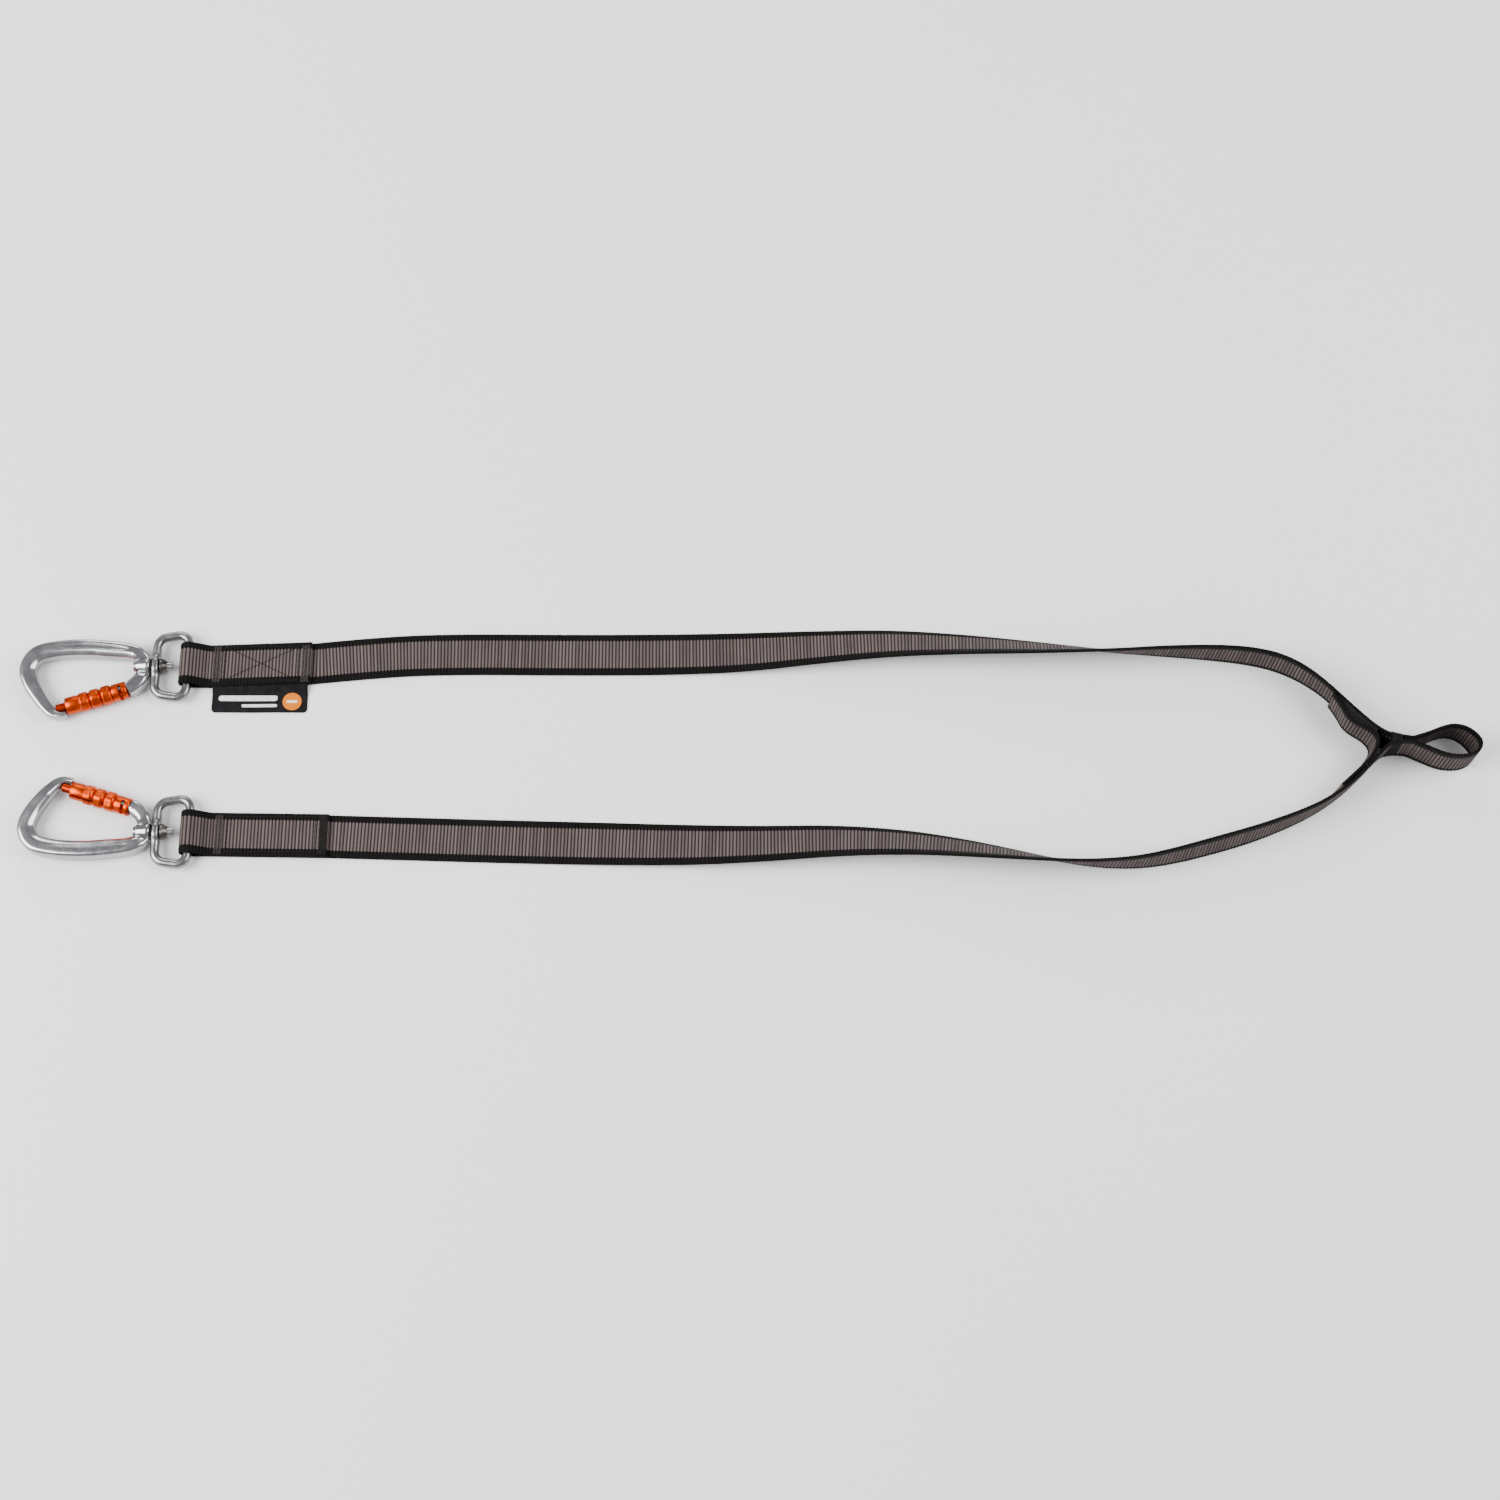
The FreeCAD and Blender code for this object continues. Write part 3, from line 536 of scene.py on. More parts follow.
ANODISED = anodised_look("orange_anodised", (0.46, 0.040, 0.0003, 1), (0.58, 0.056, 0.0003, 1))
# A darker copy of the orange anodising for the gate barrel, which sits inside the sleeve: painted shade.
ANODISED_SHADED = anodised_look("orange_anodised_barrel_painted_shade", (0.27, 0.016, 0.0003, 1), (0.37, 0.024, 0.0003, 1))

arm_a, path_a = route_strap("arm_webbing_a", ARM_A, "webbing_arm_a", (1, 0, 0), (1, 0, 0))
arm_b, path_b = route_strap("arm_webbing_b", ARM_B, "webbing_arm_b", (1, 0, 0), (1, 0, 0))
route_strap("loop_webbing", LOOP, "handle_loop", (1, 0, 0), (-1, 0, 0))
_, path_v = route_strap("throat_webbing", REINFORCEMENT, "throat_reinforcement", phase=0.0006)
fold_strap("a", ARM_A)
fold_strap("b", ARM_B)


# ---- stitching ----------------------------------------------------------------------------
STITCH = 0.0027                            # length of a single stitch
STITCH_GAP = 0.0004
TACK_STEP = 0.00135                        # between the columns of a bar tack
TACK_SWING = 0.00062
TACK_PITCH = 0.00052
TACK_INSET = 0.0012                        # from a tack's ends to the webbing's edges
BOX_INSET = 0.0022                         # from the box to the webbing's edges
THROAT_ROWS = 9
THROAT_START = 0.0064                      # from the arms' ends to the first row
THROAT_STEP = 0.0006
THROAT_INSET = 0.0017                      # from a row's ends to the webbing's edges
BINDING_THICK = 0.0008


def stitch_run(start, end):
    """A row of single stitches between two points, each a low arch sunk at both ends."""
    start = np.array(start, float)
    end = np.array(end, float)
    length = np.linalg.norm(end - start)
    count = max(1, round(length / (STITCH + STITCH_GAP)))
    step = (end - start) / count
    share = np.linspace(0.06, 0.94, 7)
    arch = np.sin(share * math.pi) * 0.00022 - 0.00012
    parts = []
    for k in range(count):
        path = start + step * (k + share[:, None])
        path[:, 2] += arch
        parts.append(tube(path, THREAD))
    return parts


def zigzag(start, end, side, swing, pitch, seed):
    """A zigzag thread from start to end, swinging to both sides along the vector side."""
    start = np.array(start, float)
    end = np.array(end, float)
    side = np.array(side, float)
    rng = np.random.default_rng(seed)
    count = max(2, round(np.linalg.norm(end - start) / pitch))
    corners = []
    for k in range(count + 1):
        sway = swing * (1 if k % 2 else -1) * rng.uniform(0.8, 1.15)
        corners.append(start + (end - start) * k / count + side * sway)
    corners = np.array(corners)
    share = np.linspace(0, 1, 5, endpoint=False)
    path = []
    for first, second in zip(corners, corners[1:]):
        for s in share:
            point = first + (second - first) * s
            path.append((*point, math.sin(s * math.pi)))
    return np.array(path)


def tack_parts(x, centre_y, half, top, columns, seed):
    """Dense zigzag columns across the webbing, close together, as a bar tack."""
    parts = []
    for column in range(columns):
        place = x + column * TACK_STEP
        start = (place, centre_y - half, top)
        end = (place, centre_y + half, top)
        path = zigzag(start, end, (1, 0, 0), TACK_SWING, TACK_PITCH, seed + column)
        points = path[:, :3].copy()
        points[:, 2] += path[:, 3] * 0.0002 - 0.00006
        parts.append(tube(points, THREAD * 0.95, 5))
    return parts


def ring_threads(letter, arm, centre_y, seed):
    """Two bar tacks and a box between them on the fold's upper face. Side a has a cross in
    its box, and side b a darker, denser tack at the webbing's end."""
    first = EYE[letter].x + RING_BAR_X + 0.0135
    last = arm[0][0] + LAYOUT_SHIFT.x
    top = LAYOUT_SHIFT.z + 2 * WEB_THICK + LAYER_GAP[letter]
    half = WEB_WIDTH / 2 - TACK_INSET
    tacks = tack_parts(first, centre_y, half, top, 3, seed)
    end_tack = tack_parts(last - 0.0042, centre_y, half, top, 3, seed + 10)
    left = first + 0.0052
    right = last - 0.0066
    low = centre_y - WEB_WIDTH / 2 + BOX_INSET
    high = centre_y + WEB_WIDTH / 2 - BOX_INSET
    corners = [(left, low, top), (right, low, top), (right, high, top), (left, high, top)]
    box = []
    for k in range(4):
        box += stitch_run(corners[k], corners[(k + 1) % 4])
    if letter == "a":
        box += stitch_run(corners[0], corners[2]) + stitch_run(corners[1], corners[3])
        tacks += end_tack
    else:
        box += end_tack + tack_parts(last - 0.0036, centre_y, half, top, 3, seed + 20)
    lines = joined("box_threads_" + letter, box)
    bars = joined("tack_threads_" + letter, tacks)
    for obj, look in ((lines, THREAD_DARK), (bars, THREAD_GREY)):
        obj.data.materials.append(look)
        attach(obj, "lead")
    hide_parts("ring_stitching_" + letter)


ring_threads("a", ARM_A, 0.0466, 3)
ring_threads("b", ARM_B, -0.0464, 31)


def gusset_parts():
    """Black binding that closes the gap along the top between the throat piece and arm a,
    with a zigzag row along it."""
    top = np.array([0, 0, WEB_WIDTH / 2 - 0.0009])
    points = np.array([vertex.co for vertex in arm_a.data.vertices])
    crest = points[points[:, 2] > LAYOUT_SHIFT.z + WEB_WIDTH * 0.92]
    across = np.linspace(0, 1, 9)
    rows = []
    for share in np.linspace(0.03, 0.455, 60):
        near = path_v[int(share * len(path_v))] + top
        reach = crest[np.argmin(np.linalg.norm(crest[:, :2] - near[:2], axis=1))] - near
        far = near + np.array([reach[0], reach[1], 0]) * 1.05
        drop = 0.0006 + 0.05 * np.linalg.norm(far - near)
        sag = np.sin(across * math.pi)[:, None] * np.array([0, 0, -drop])
        upper = near + (far - near) * across[:, None] + sag
        lower = upper - np.array([0, 0, BINDING_THICK])
        rows.append(np.vstack([upper, lower[::-1]]))
    parts = [(np.array(rows).reshape(-1, 3), capped_faces(len(rows), len(rows[0])))]
    middle = np.array([row[4] for row in rows[6:-4]])
    sway = unit(np.array([row[8] - row[0] for row in rows[6:-4]]))
    swing = np.where(np.arange(len(middle)) % 2, 1, -1)[:, None] * sway * 0.0008
    parts.append(tube(middle + swing + np.array([0, 0, 0.00016]), THREAD, 5))
    return parts


def throat_threads():
    """Zigzag columns on both outer faces of the throat, loops over its top edges, and the
    binding beside it."""
    parts = []
    low = LAYOUT_SHIFT.z + THROAT_INSET
    high = LAYOUT_SHIFT.z + WEB_WIDTH - THROAT_INSET
    turn = np.linspace(0, math.pi, 9)
    for row in range(THROAT_ROWS):
        k = -round((THROAT_START + row * THROAT_STEP) * ROWS_PER_RIB / RIB_PITCH)
        for path, sign in ((path_a, 1), (path_b, -1)):
            along = unit(path[k + 3] - path[k - 3])
            outward = np.array([-along[1], along[0], 0]) * sign
            x, y, _ = path[k] + outward * (WEB_THICK / 2 + 0.00006)
            zig = zigzag((x, y, low), (x, y, high), along, 0.00042, 0.00055, 60 + row)
            parts.append(tube(zig[:, :3] + outward * (zig[:, 3:] * 0.00016 - 0.00006), THREAD, 5))
        x, y, _ = (path_a[k] + path_b[k]) / 2
        half = np.linalg.norm(path_a[k] - path_b[k]) / 2 + 0.0009
        height = LAYOUT_SHIFT.z + WEB_WIDTH - 0.0004 + np.sin(turn) * 0.0006
        loop = np.stack([np.full(len(turn), x), y + np.cos(turn) * half, height], 1)
        parts.append(tube(loop, THREAD, 5))
    parts += gusset_parts()
    obj = joined("throat_threads", parts)
    obj.data.materials.append(THREAD_DARK)
    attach(obj, "lead")
    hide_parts("throat_stitching")


throat_threads()


# ---- label --------------------------------------------------------------------------------
LABEL_LEFT = -0.2786 + LAYOUT_SHIFT.x
LABEL_RIGHT = -0.2292 + LAYOUT_SHIFT.x
LABEL_THICK = 0.0006
LABEL_DROP = 0.0134
LABEL_CORNER = 0.002


def label_line():
    """The label's path down from between the layers, over the edge and along the floor."""
    edge = FOLD_Y["a"] - WEB_WIDTH / 2 + LAYOUT_SHIFT.y
    high = LAYOUT_SHIFT.z + WEB_THICK + LABEL_THICK / 2
    low = LAYOUT_SHIFT.z + LABEL_THICK / 2
    points = [
        (edge + 0.0060, high), (edge + 0.0004, high), (edge - 0.0008, high - 0.0003),
        (edge - 0.0034, low + 0.0003), (edge - 0.0046, low), (edge - LABEL_DROP, low),
    ]
    return nurbs_line([(0, y, z) for y, z in points])


LABEL_POINTS, LABEL_PLACES = resampled(label_line(), 0.0004)


def label_point(x, place, lift):
    """A point on the label: x across it, place down from its sewn edge, lift off its middle."""
    y = np.interp(place, LABEL_PLACES, LABEL_POINTS[:, 1])
    z = np.interp(place, LABEL_PLACES, LABEL_POINTS[:, 2])
    ahead = np.interp(place + 0.0003, LABEL_PLACES, LABEL_POINTS[:, 2])
    behind = np.interp(place - 0.0003, LABEL_PLACES, LABEL_POINTS[:, 2])
    lean = (behind - ahead) / 0.0006
    down = max(0.0, place - 0.009) / 0.01
    wave = 0.00022 * down * (1 + math.sin((x - LABEL_LEFT) * 210 + 0.6))
    return (x, y - lean * lift, z + lift + wave)


def label_patch(outline_rows, lift, thickness):
    """A thin closed patch from rows of (place, left, right)."""
    columns = 48
    points = []
    for side in (1, -1):
        height = lift + side * thickness / 2
        for place, left, right in outline_rows:
            across = [left + (right - left) * k / columns for k in range(columns + 1)]
            points += [label_point(x, place, height) for x in across]
    rows = len(outline_rows)
    wide = columns + 1
    below = rows * wide
    upper = [face[::-1] for face in grid_faces(rows, wide)]
    lower = [[below + k for k in face[::-1]] for face in upper]
    rim = list(range(wide))
    rim += [row * wide + columns for row in range(1, rows)]
    rim += [(rows - 1) * wide + k for k in range(columns - 1, -1, -1)]
    rim += [row * wide for row in range(rows - 2, 0, -1)]
    walls = []
    for first, second in zip(rim, rim[1:] + rim[:1]):
        walls.append([below + second, below + first, first, second])
    return points, upper + lower + walls


def label_cloth():
    """The label itself, its two free corners rounded."""
    length = LABEL_PLACES[-1]
    places = list(np.linspace(0, length - LABEL_CORNER, 40))
    places += [length - LABEL_CORNER * (1 - s) for s in (0.2, 0.4, 0.6, 0.75, 0.88, 0.96, 1)]
    rows = []
    for place in places:
        into = max(0.0, place - (length - LABEL_CORNER))
        inset = LABEL_CORNER - math.sqrt(max(LABEL_CORNER ** 2 - into ** 2, 0))
        rows.append((place, LABEL_LEFT + inset * 0.98, LABEL_RIGHT - inset * 0.98))
    obj = joined("label_cloth", [label_patch(rows, 0.0, LABEL_THICK)])
    obj.data.materials.append(LABEL_CLOTH)
    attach(obj, "lead")
    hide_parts("label_tag")


def rounded_rows(left, right, top, bottom, radius):
    """Rows of a rounded rectangle on the label."""
    rows = []
    for k in range(25):
        place = top + (bottom - top) * k / 24
        into = max(0.0, radius - min(place - top, bottom - place))
        inset = radius - math.sqrt(max(radius ** 2 - into ** 2, 0))
        rows.append((place, left + inset * 0.99, right - inset * 0.99))
    return rows


def label_print():
    """A plain generic print: an orange roundel with a white bar in it, and two white bars."""
    lift = LABEL_THICK / 2 + 0.00003
    raised = lift + 0.00005
    thick = 0.00006
    top = 0.0088
    side = LABEL_RIGHT - 0.0155
    roundel = rounded_rows(LABEL_RIGHT - 0.0128, LABEL_RIGHT - 0.0030, top, top + 0.0098, 0.0049)
    wide_bar = rounded_rows(LABEL_LEFT + 0.0035, side, top + 0.0016, top + 0.0046, 0.0012)
    short_bar = rounded_rows(LABEL_LEFT + 0.0155, side, top + 0.0064, top + 0.0080, 0.0007)
    inner_bar = rounded_rows(LABEL_RIGHT - 0.0108, LABEL_RIGHT - 0.0050, top + 0.0042, top + 0.0056, 0.0007)
    orange = [label_patch(roundel, lift, thick)]
    white = [label_patch(wide_bar, lift, thick), label_patch(short_bar, lift, thick)]
    white.append(label_patch(inner_bar, raised, thick))
    for name, parts, look in (("orange", orange, PRINT_ORANGE), ("white", white, PRINT_WHITE)):
        obj = joined("label_print_" + name, parts)
        obj.data.materials.append(look)
        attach(obj, "lead")


label_cloth()
label_print()


# ---- carabiners ---------------------------------------------------------------------------
def to_side(letter):
    """From millimetres about the eye's centre to the side's place, turned over on side b."""
    turned = Matrix.Rotation(math.pi, 4, "X") if letter == "b" else Matrix.Identity(4)
    return Matrix.Translation(EYE[letter]) @ turned @ Matrix.Scale(MM, 4)


def gate_matrix():
    """From the gate's own axes, with u along X and the hinge at the origin, to the eye's."""
    return Matrix.Translation(HINGE) @ Matrix.Rotation(math.radians(GATE_TILT), 4, "Z")


def through(points, count):
    """A smooth line through every point, as a Catmull-Rom spline."""
    points = np.array(points, float)
    padded = np.vstack([2 * points[0] - points[1], points, 2 * points[-1] - points[-2]])
    found = []
    for k in range(len(points) - 1):
        p0, p1, p2, p3 = padded[k:k + 4]
        for t in np.linspace(0, 1, count, endpoint=False):
            found.append(0.5 * (2 * p1 + (p2 - p0) * t + (2 * p0 - 5 * p1 + 4 * p2 - p3) * t * t
                                + (3 * p1 - p0 - 3 * p2 + p3) * t ** 3))
    return np.array(found + [points[-1]])


def combine(obj, other, operation):
    """Join another closed mesh to obj, cut it away or keep what they share, and delete it."""
    modifier = obj.modifiers.new("combine", "BOOLEAN")
    modifier.operation = operation
    modifier.solver = "EXACT"
    modifier.object = other
    bpy.context.view_layer.update()
    made = bpy.data.meshes.new_from_object(obj.evaluated_get(bpy.context.evaluated_depsgraph_get()))
    obj.modifiers.clear()
    obj.data = made
    bpy.data.objects.remove(other)


def weld(obj):
    """Merge corners that a cut left within a thousandth of a millimetre of each other."""
    work = bmesh.new()
    work.from_mesh(obj.data)
    bmesh.ops.remove_doubles(work, verts=work.verts, dist=0.001)
    work.to_mesh(obj.data)
    work.free()


def turned_shape(profile, sides, matrix=None, wobble=None):
    """A closed solid turned about X from (x, radius) pairs that start and end on the axis."""
    angle = np.linspace(0, 2 * math.pi, sides, endpoint=False)
    profile = np.array(profile, float)
    radius = np.repeat(profile[1:-1, 1][:, None], sides, 1)
    if wobble is not None:
        radius = radius + wobble(profile[1:-1, 0][:, None], angle[None, :])
    x = np.repeat(profile[1:-1, 0][:, None], sides, 1)
    points = np.stack([x, radius * np.cos(angle), radius * np.sin(angle)], -1).reshape(-1, 3)
    rows = len(profile) - 2
    first, last = len(points), len(points) + 1
    points = np.vstack([points, [profile[0, 0], 0, 0], [profile[-1, 0], 0, 0]])
    faces = grid_faces(rows, sides, closed_columns=True)
    end = (rows - 1) * sides
    for k in range(sides):
        faces.append([k, (k + 1) % sides, first])
        faces.append([end + (k + 1) % sides, end + k, last])
    obj = new_object("turned", points, faces)
    if matrix is not None:
        obj.data.transform(matrix)
    return obj


def block(low, high, matrix=None):
    """A plain block, used only to cut with."""
    corners = [(x, y, z) for x in (low[0], high[0]) for y in (low[1], high[1]) for z in (low[2], high[2])]
    faces = [(0, 1, 3, 2), (4, 6, 7, 5), (0, 4, 5, 1), (2, 3, 7, 6), (0, 2, 6, 4), (1, 5, 7, 3)]
    obj = new_object("block", corners, faces)
    if matrix is not None:
        obj.data.transform(matrix)
    return obj


def rod(radius, low, high, matrix=None, sides=48):
    """A cylinder about X from low to high, used only to cut with."""
    return turned_shape([(low, 0), (low, radius), (high, radius), (high, 0)], sides, matrix)


def upright_rod(radius, low, high, matrix):
    """A cylinder about Z from low to high, used only to cut with."""
    return rod(radius, low, high, matrix @ Matrix.Rotation(-math.pi / 2, 4, "Y"))


def forged_section(width, lens):
    """The bar's outline: outer edge rounded, a bevel along the inner edge, and flat faces with
    a shallow recess whose width and depth follow lens, from 0 to 1."""
    top = FRAME_THICK / 2
    half = width / 2
    outer = min(2.3, half * 0.62)
    bevel = min(2.7, half * 0.62)
    upper = []
    for angle in np.linspace(8, 82, 7):
        turn = math.radians(angle)
        height = top - outer * 0.9 + outer * 0.9 * math.sin(turn)
        upper.append((-half + outer - outer * math.cos(turn), height))
    flat_start = -half + outer + 0.15
    flat_end = half - bevel
    reach = 0.1 + 0.36 * math.sqrt(lens)
    depth = 0.2 * min(1, lens * 3)
    for share, drop in ((0, 0), (0.5 - reach, 0), (0.6 - reach, depth * 0.8), (0.5, depth),
                        (0.4 + reach, depth * 0.8), (0.5 + reach, 0), (1, 0)):
        upper.append((flat_start + (flat_end - flat_start) * share, top - drop))
    upper += [(flat_end + 0.22, top - 0.10), (flat_end + bevel * 0.5, top - 0.62), (half - 0.45, top - 1.28)]
    upper += [(half - 0.16, top - 1.55), (half, top - 2.0)]
    return upper + [(w, -z) for w, z in reversed(upper)]


def forged_bar():
    """The body's bent bar with its nose, in mm about the eye's centre, crowned at both ends."""
    line = through(FRAME_LINE, 12)
    centres = np.column_stack([line[:, :2], np.zeros(len(line))])
    tangent = unit(np.gradient(centres, axis=0))
    side = np.cross([0, 0, 1.0], tangent)
    rows = []
    for centre, inward, width in zip(centres, side, line[:, 2]):
        lens = max(0.0, 1 - ((centre[0] + 32.5) / 19.5) ** 2) if centre[1] > 4 else 0.0
        waist = 1 - 0.52 * math.exp(-(centre[1] / 5.0) ** 4) if centre[0] > -10 else 1.0
        waist *= 1 - 0.34 * np.clip((-20 - centre[1]) / 7, 0, 1)
        section = [(w, z * waist) for w, z in forged_section(width, lens)]
        rows.append([centre + inward * w + np.array([0, 0, z]) for w, z in section])
    rows = np.array(rows)

    def cap(end, step, shrink, push):
        return centres[end] + (rows[end] - centres[end]) * shrink + tangent[end] * step * push

    first = [cap(0, -1, 0.62, 0.8), cap(0, -1, 0.86, 0.5)]
    last = [cap(-1, 1, 0.86, 0.5), cap(-1, 1, 0.62, 0.8)]
    rows = np.concatenate([first, rows, last])
    return new_object("body", rows.reshape(-1, 3), capped_faces(*rows.shape[:2]))


def swivel_boss():
    """The turned boss at the rivet, ending in a lip beside the washer."""
    return turned_shape([
        (BOSS_LEFT - 0.9, 0), (BOSS_LEFT - 0.9, 3.5), (BOSS_LEFT - 0.75, 3.75), (BOSS_LEFT - 0.2, 3.95),
        (-7.6, 4.2), (-6.0, 4.5), (-4.6, 4.75), (-4.4, 4.6), (-4.15, 4.6), (-3.95, 4.85), (-3.3, 4.85),
        (BOSS_RIGHT, 4.55), (BOSS_RIGHT, 0)], 72)


def carabiner_body():
    """Forged body in mm about the eye's centre: bar, nose and boss, bored and slotted."""
    body = forged_bar()
    combine(body, swivel_boss(), "UNION")
    gate = gate_matrix()
    cutters = [
        rod(RIVET_RADIUS, -16, 2),
        rod(RIVET_HEAD_BORE, BOSS_LEFT - 6, BOSS_LEFT),
        block((BOSS_RIGHT, -15, -6), (BOSS_RIGHT + 6, 15, 6)),
        rod(BARREL_RADIUS + SWING_CLEARANCE, BARREL_TIP - 0.4, BARREL_TIP + 8, gate),
        block((-6, -KNUCKLE_BORE, FORK_LOW), (0, 6, FORK_HIGH), gate),
        upright_rod(KNUCKLE_BORE, FORK_LOW, FORK_HIGH, gate),
        upright_rod(HINGE_PIN_RADIUS, -6, 6, gate),
    ]
    for cutter in cutters:
        combine(body, cutter, "DIFFERENCE")
    for share in (0, 0.5, 1):
        swung = gate @ Matrix.Rotation(math.radians(-GATE_OPENING * share), 4, "Z")
        room = rod(SLEEVE_RADIUS + SWING_CLEARANCE, SLEEVE_END - 29.7, SLEEVE_END + 0.3, swung, 64)
        combine(room, block((-9, -6, -6), (0, 8, 6), gate), "INTERSECT")
        combine(body, room, "DIFFERENCE")
    weld(body)
    return body


def ring_line():
    """The D's line in mm about the eye, from the eye up and round to the eye again."""
    left = np.array([RING_EYE_BEND, RING_EYE_BEND_Y])
    right = np.array([RING_BAR_X / MM - RING_BAR_BEND, RING_BAR_BEND_Y])
    across = right - left
    narrowing = math.asin((RING_EYE_BEND - RING_BAR_BEND) / np.linalg.norm(across))
    top = math.atan2(across[1], across[0]) - narrowing + math.pi / 2
    upper = [(0.0, y) for y in np.linspace(0, RING_EYE_BEND_Y, 22, endpoint=False)]
    bends = ((left, RING_EYE_BEND, math.pi, top), (right, RING_BAR_BEND, top, 0))
    for centre, radius, start, end in bends:
        for angle in np.linspace(start, end, 14):
            upper.append((centre[0] + radius * math.cos(angle), centre[1] + radius * math.sin(angle)))
    upper += [(upper[-1][0], y) for y in np.linspace(RING_BAR_BEND_Y, 0, 16)[1:]]
    return np.array(upper + [(x, -y) for x, y in upper[-2:0:-1]])


def swivel_ring():
    """Forged D of round stock whose straight bar swells smoothly into a bored eye."""
    line = ring_line()
    centres = np.column_stack([line, np.zeros(len(line))])
    tangent = unit(np.roll(centres, -1, axis=0) - np.roll(centres, 1, axis=0))
    side = np.cross([0, 0, 1.0], tangent)
    radius = RING_STOCK / 2
    rows = []
    for centre, out in zip(centres, side):
        swell = math.exp(-(centre[1] / 4.4) ** 4) if centre[0] < 1 else 0.0
        high = radius + (RING_EYE_RADIUS - radius) * swell
        row = []
        for angle in np.linspace(0, 2 * math.pi, 32, endpoint=False):
            w = math.cos(angle)
            w = math.copysign(abs(w) ** (1 - 0.4 * swell), w)
            row.append(centre + out * radius * w + np.array([0, 0, high * math.sin(angle)]))
        rows.append(row)
    rows = np.array(rows)
    faces = grid_faces(len(rows), 32, closed_rows=True, closed_columns=True)
    ring = new_object("ring", rows.reshape(-1, 3), faces)
    combine(ring, rod(RIVET_RADIUS + 0.05, -6, 6), "DIFFERENCE")
    return ring


def sleeve_profile():
    """Radius along the sleeve: a plain collar, three barrel-shaped rings, and a collar."""
    start = SLEEVE_START
    end = SLEEVE_END
    full = SLEEVE_RADIUS
    points = [
        (start, 0), (start, full - 0.45), (start + 0.12, full - 0.2), (start + 0.45, full),
        (start + 3.0, full), (start + 5.6, full), (start + 6.1, full - 0.1),
    ]
    for k in range(KNURL_COUNT):
        ring = start + SLEEVE_COLLAR + k * KNURL_PITCH
        for share in (0.06, 0.1, 0.15, 0.22, 0.32, 0.42, 0.5, 0.58, 0.68, 0.78, 0.85, 0.9, 0.94):
            bulge = min(1, 1.6 * math.sin(share * math.pi)) ** 0.6
            radius = GROOVE_RADIUS + (KNURL_RADIUS - GROOVE_RADIUS) * bulge
            points.append((ring + share * KNURL_PITCH, radius))
        points.append((ring + KNURL_PITCH, GROOVE_RADIUS))
    last = start + SLEEVE_COLLAR + KNURL_COUNT * KNURL_PITCH
    return points + [
        (last + 0.3, full - 0.12), (last + 0.7, full), (last + 3.2, full), (end - 1.25, full),
        (end - 1.1, full - 0.14), (end - 0.9, full - 0.14), (end - 0.75, full),
        (end - 0.35, full - 0.05), (end, full - 0.4), (end, 0),
    ]


def knurl(x, angle):
    """Six broad facets and fine ribs round each ring, turned a little from ring to ring."""
    start = SLEEVE_START + SLEEVE_COLLAR
    inside = (x > start) & (x < start + KNURL_COUNT * KNURL_PITCH)
    place = (x - start) / KNURL_PITCH
    ring = np.floor(place)
    middle = np.sin(np.clip(place - ring, 0, 1) * math.pi) ** 0.8
    facet = (0.5 - 0.5 * np.cos(FACETS * (angle + ring * math.radians(14)))) ** 1.4
    ribs = 0.5 - 0.5 * np.cos(FINE_RIBS * angle)
    depth = FACET_DEPTH * facet + FINE_RIB_DEPTH * ribs * (0.35 + 0.65 * facet)
    return -(inside * middle * depth)


def sector_cutter(first, last, matrix):
    """A wedge about the gate's axis, used only to cut a slot that runs round the sleeve."""
    angles = np.radians(np.linspace(first, last, 17))
    flat = [(0.0, 0.0)] + [(9 * math.cos(a), 9 * math.sin(a)) for a in angles]
    count = len(flat)
    near = GUIDE_PIN_U - GUIDE_SLOT_WIDTH / 2
    points = [(near, y, z) for y, z in flat] + [(near + GUIDE_SLOT_WIDTH, y, z) for y, z in flat]
    faces = [list(range(count))[::-1], [count + k for k in range(count)]]
    for k in range(count):
        faces.append([k, (k + 1) % count, count + (k + 1) % count, count + k])
    obj = new_object("sector", points, faces)
    obj.data.transform(matrix)
    return obj


def lock_sleeve():
    """Twist-lock sleeve in mm about the eye's centre, with its bore and slots."""
    gate = gate_matrix()
    sleeve = turned_shape(sleeve_profile(), 200, gate, knurl)
    combine(sleeve, rod(BARREL_RADIUS + 0.05, -40, 0, gate), "DIFFERENCE")
    spin = Matrix.Rotation(math.radians(OPENING_SLOT_ANGLE), 4, "X")
    slot = block((SLEEVE_START - 1, 0, -0.65), (SLEEVE_START + 13.5, 8, 0.65), gate @ spin)
    combine(sleeve, slot, "DIFFERENCE")
    for start in (90, 270):
        combine(sleeve, sector_cutter(start - 21, start + 111, gate), "DIFFERENCE")
    return sleeve


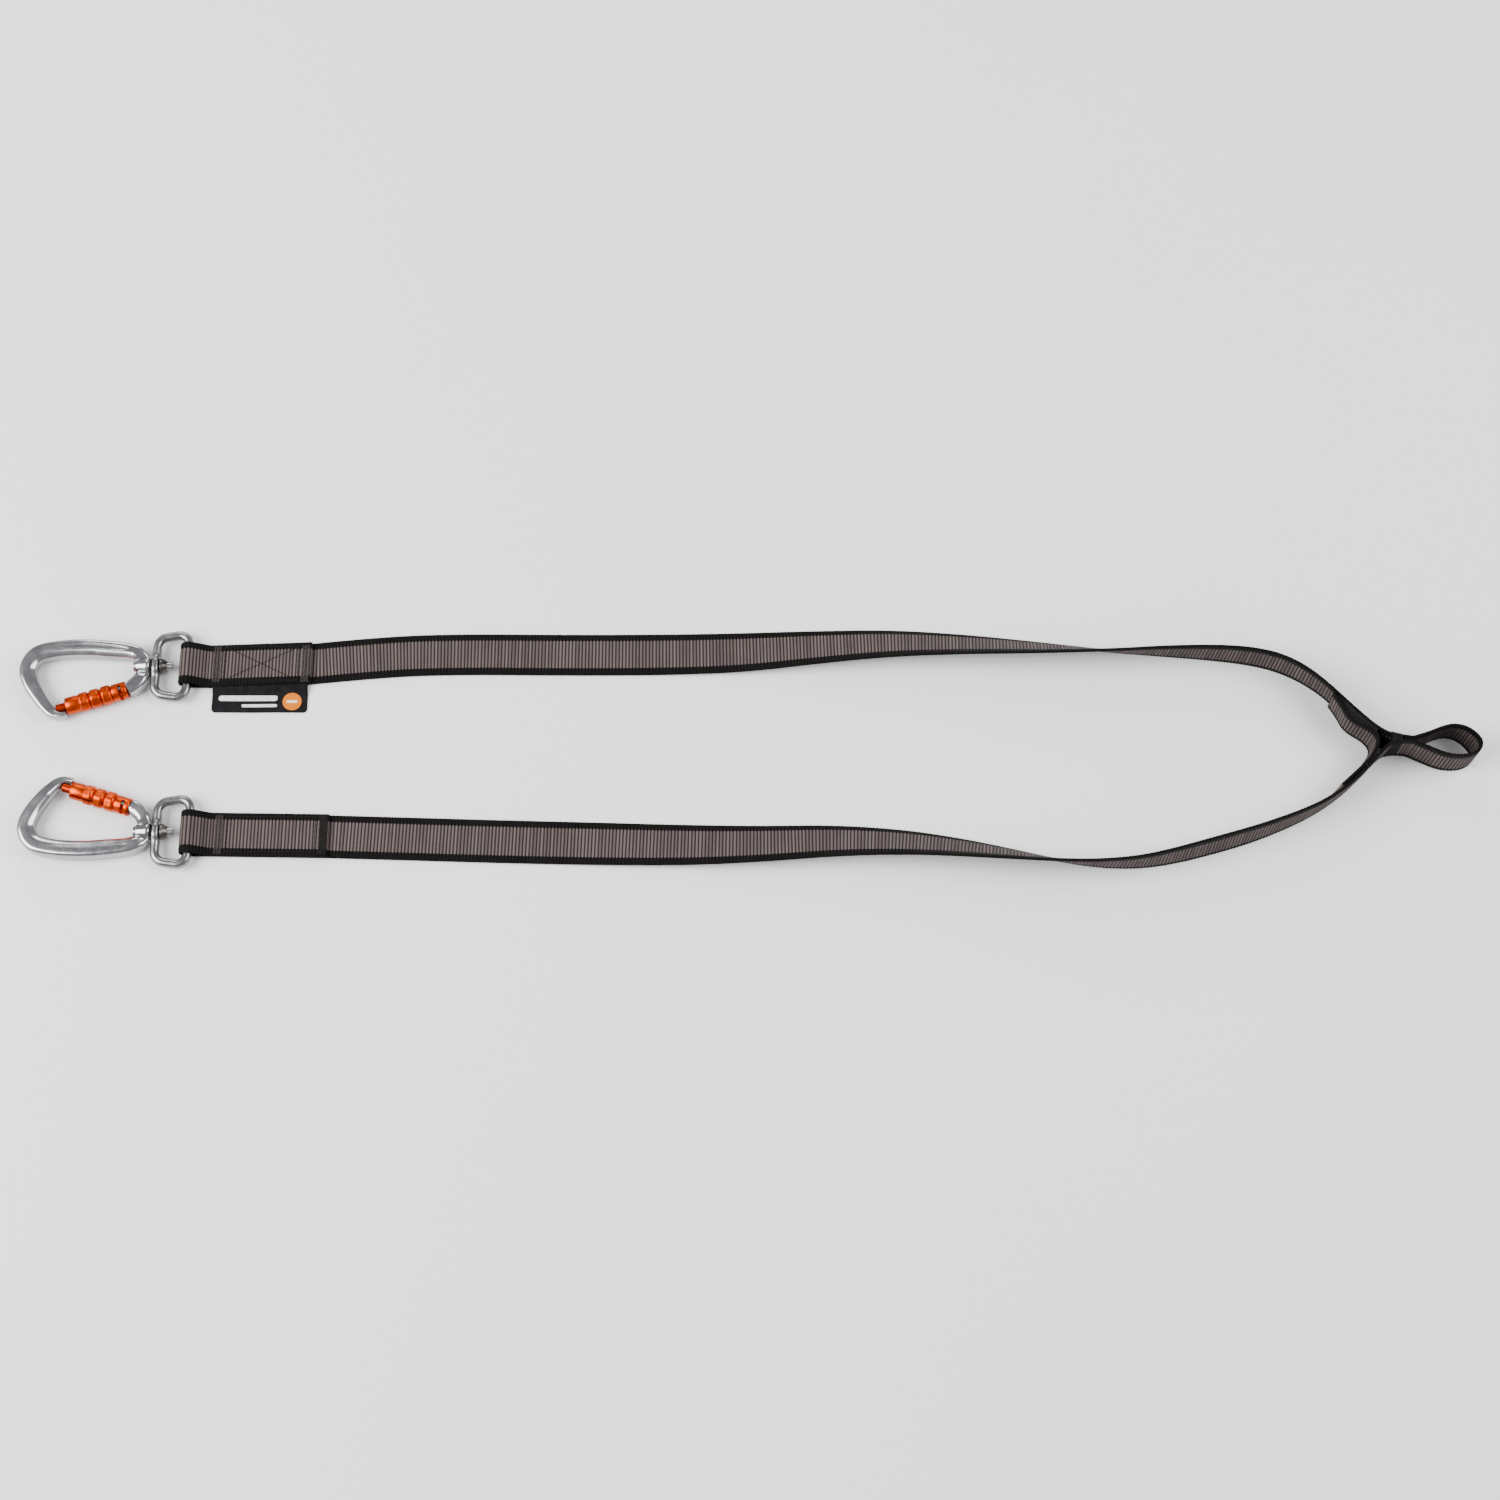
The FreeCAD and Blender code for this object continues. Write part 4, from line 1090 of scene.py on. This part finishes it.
def place_copies(master, name, node, look, body, sharp_angle):
    """Copies of a carabiner piece at both sides, each standing for its CAD node."""
    for letter in "ab":
        obj = master.copy()
        obj.data = master.data.copy()
        obj.name = name + "_" + letter
        bpy.context.scene.collection.objects.link(obj)
        obj.data.transform(to_side(letter))
        obj.data.shade_smooth()
        obj.data.set_sharp_from_angle(angle=math.radians(sharp_angle))
        obj.data.materials.clear()
        obj.data.materials.append(look)
        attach(obj, body + "_" + letter)
        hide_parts(node + "_" + letter)
    bpy.data.objects.remove(master)


place_copies(carabiner_body(), "forged_body", "carabiner_frame",
             ALUMINIUM, "carabiner", 38)
place_copies(lock_sleeve(), "knurled_sleeve", "lock_sleeve",
             ANODISED, "sleeve", 40)
place_copies(swivel_ring(), "forged_ring", "swivel_ring",
             SATIN_STEEL, "ring", 38)

CARRIED_OVER = {
    "swivel_rivet": PLATED_STEEL, "swivel_washer": DARK_STEEL, "swivel_collar": DARK_STEEL,
    # The gate barrel takes the orange anodising darkened as painted shade.
    "gate_hinge_pin": ALUMINIUM, "guide_pin": PLATED_STEEL, "gate_barrel": ANODISED_SHADED,
    "gate_spring": SPRING_STEEL, "sleeve_spring": SPRING_STEEL,
}
for node, look in CARRIED_OVER.items():
    for letter in "ab":
        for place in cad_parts[node + "_" + letter].material_slots:
            place.material = look


# ---- floor and light ----------------------------------------------------------------------
def floor_look():
    """Matt white paper, faintly uneven."""
    look = Look("floor")
    white = look.mix(look.noise(6.0, 2.0), (0.90, 0.90, 0.90, 1), (0.92, 0.92, 0.92, 1))
    return look.set(base_color=white, roughness=0.9)


def soft_light(name, place, size, power):
    """A large square light aimed at the middle of the layout."""
    data = bpy.data.lights.new(name, "AREA")
    data.shape = "SQUARE"
    data.size = size
    data.energy = power
    light = bpy.data.objects.new(name, data)
    bpy.context.scene.collection.objects.link(light)
    light.location = place
    light.rotation_euler = (-Vector(place)).to_track_quat("-Z", "Y").to_euler()


floor = new_object("floor", [(-6, -6, 0), (6, -6, 0), (6, 6, 0), (-6, 6, 0)], [(0, 1, 2, 3)])
floor.data.materials.append(floor_look())
soft_light("key", (-1.4, -0.3, 1.3), 1.3, 66)
soft_light("fill", (1.3, 0.1, 1.4), 1.2, 34)
soft_light("rim", (-0.4, 1.6, 0.9), 0.8, 12)

world = bpy.data.worlds.new("studio")
world.use_nodes = True
bpy.context.scene.world = world
world.node_tree.nodes["Background"].inputs["Color"].default_value = (0.96, 0.97, 1.0, 1)
world.node_tree.nodes["Background"].inputs["Strength"].default_value = 0.5
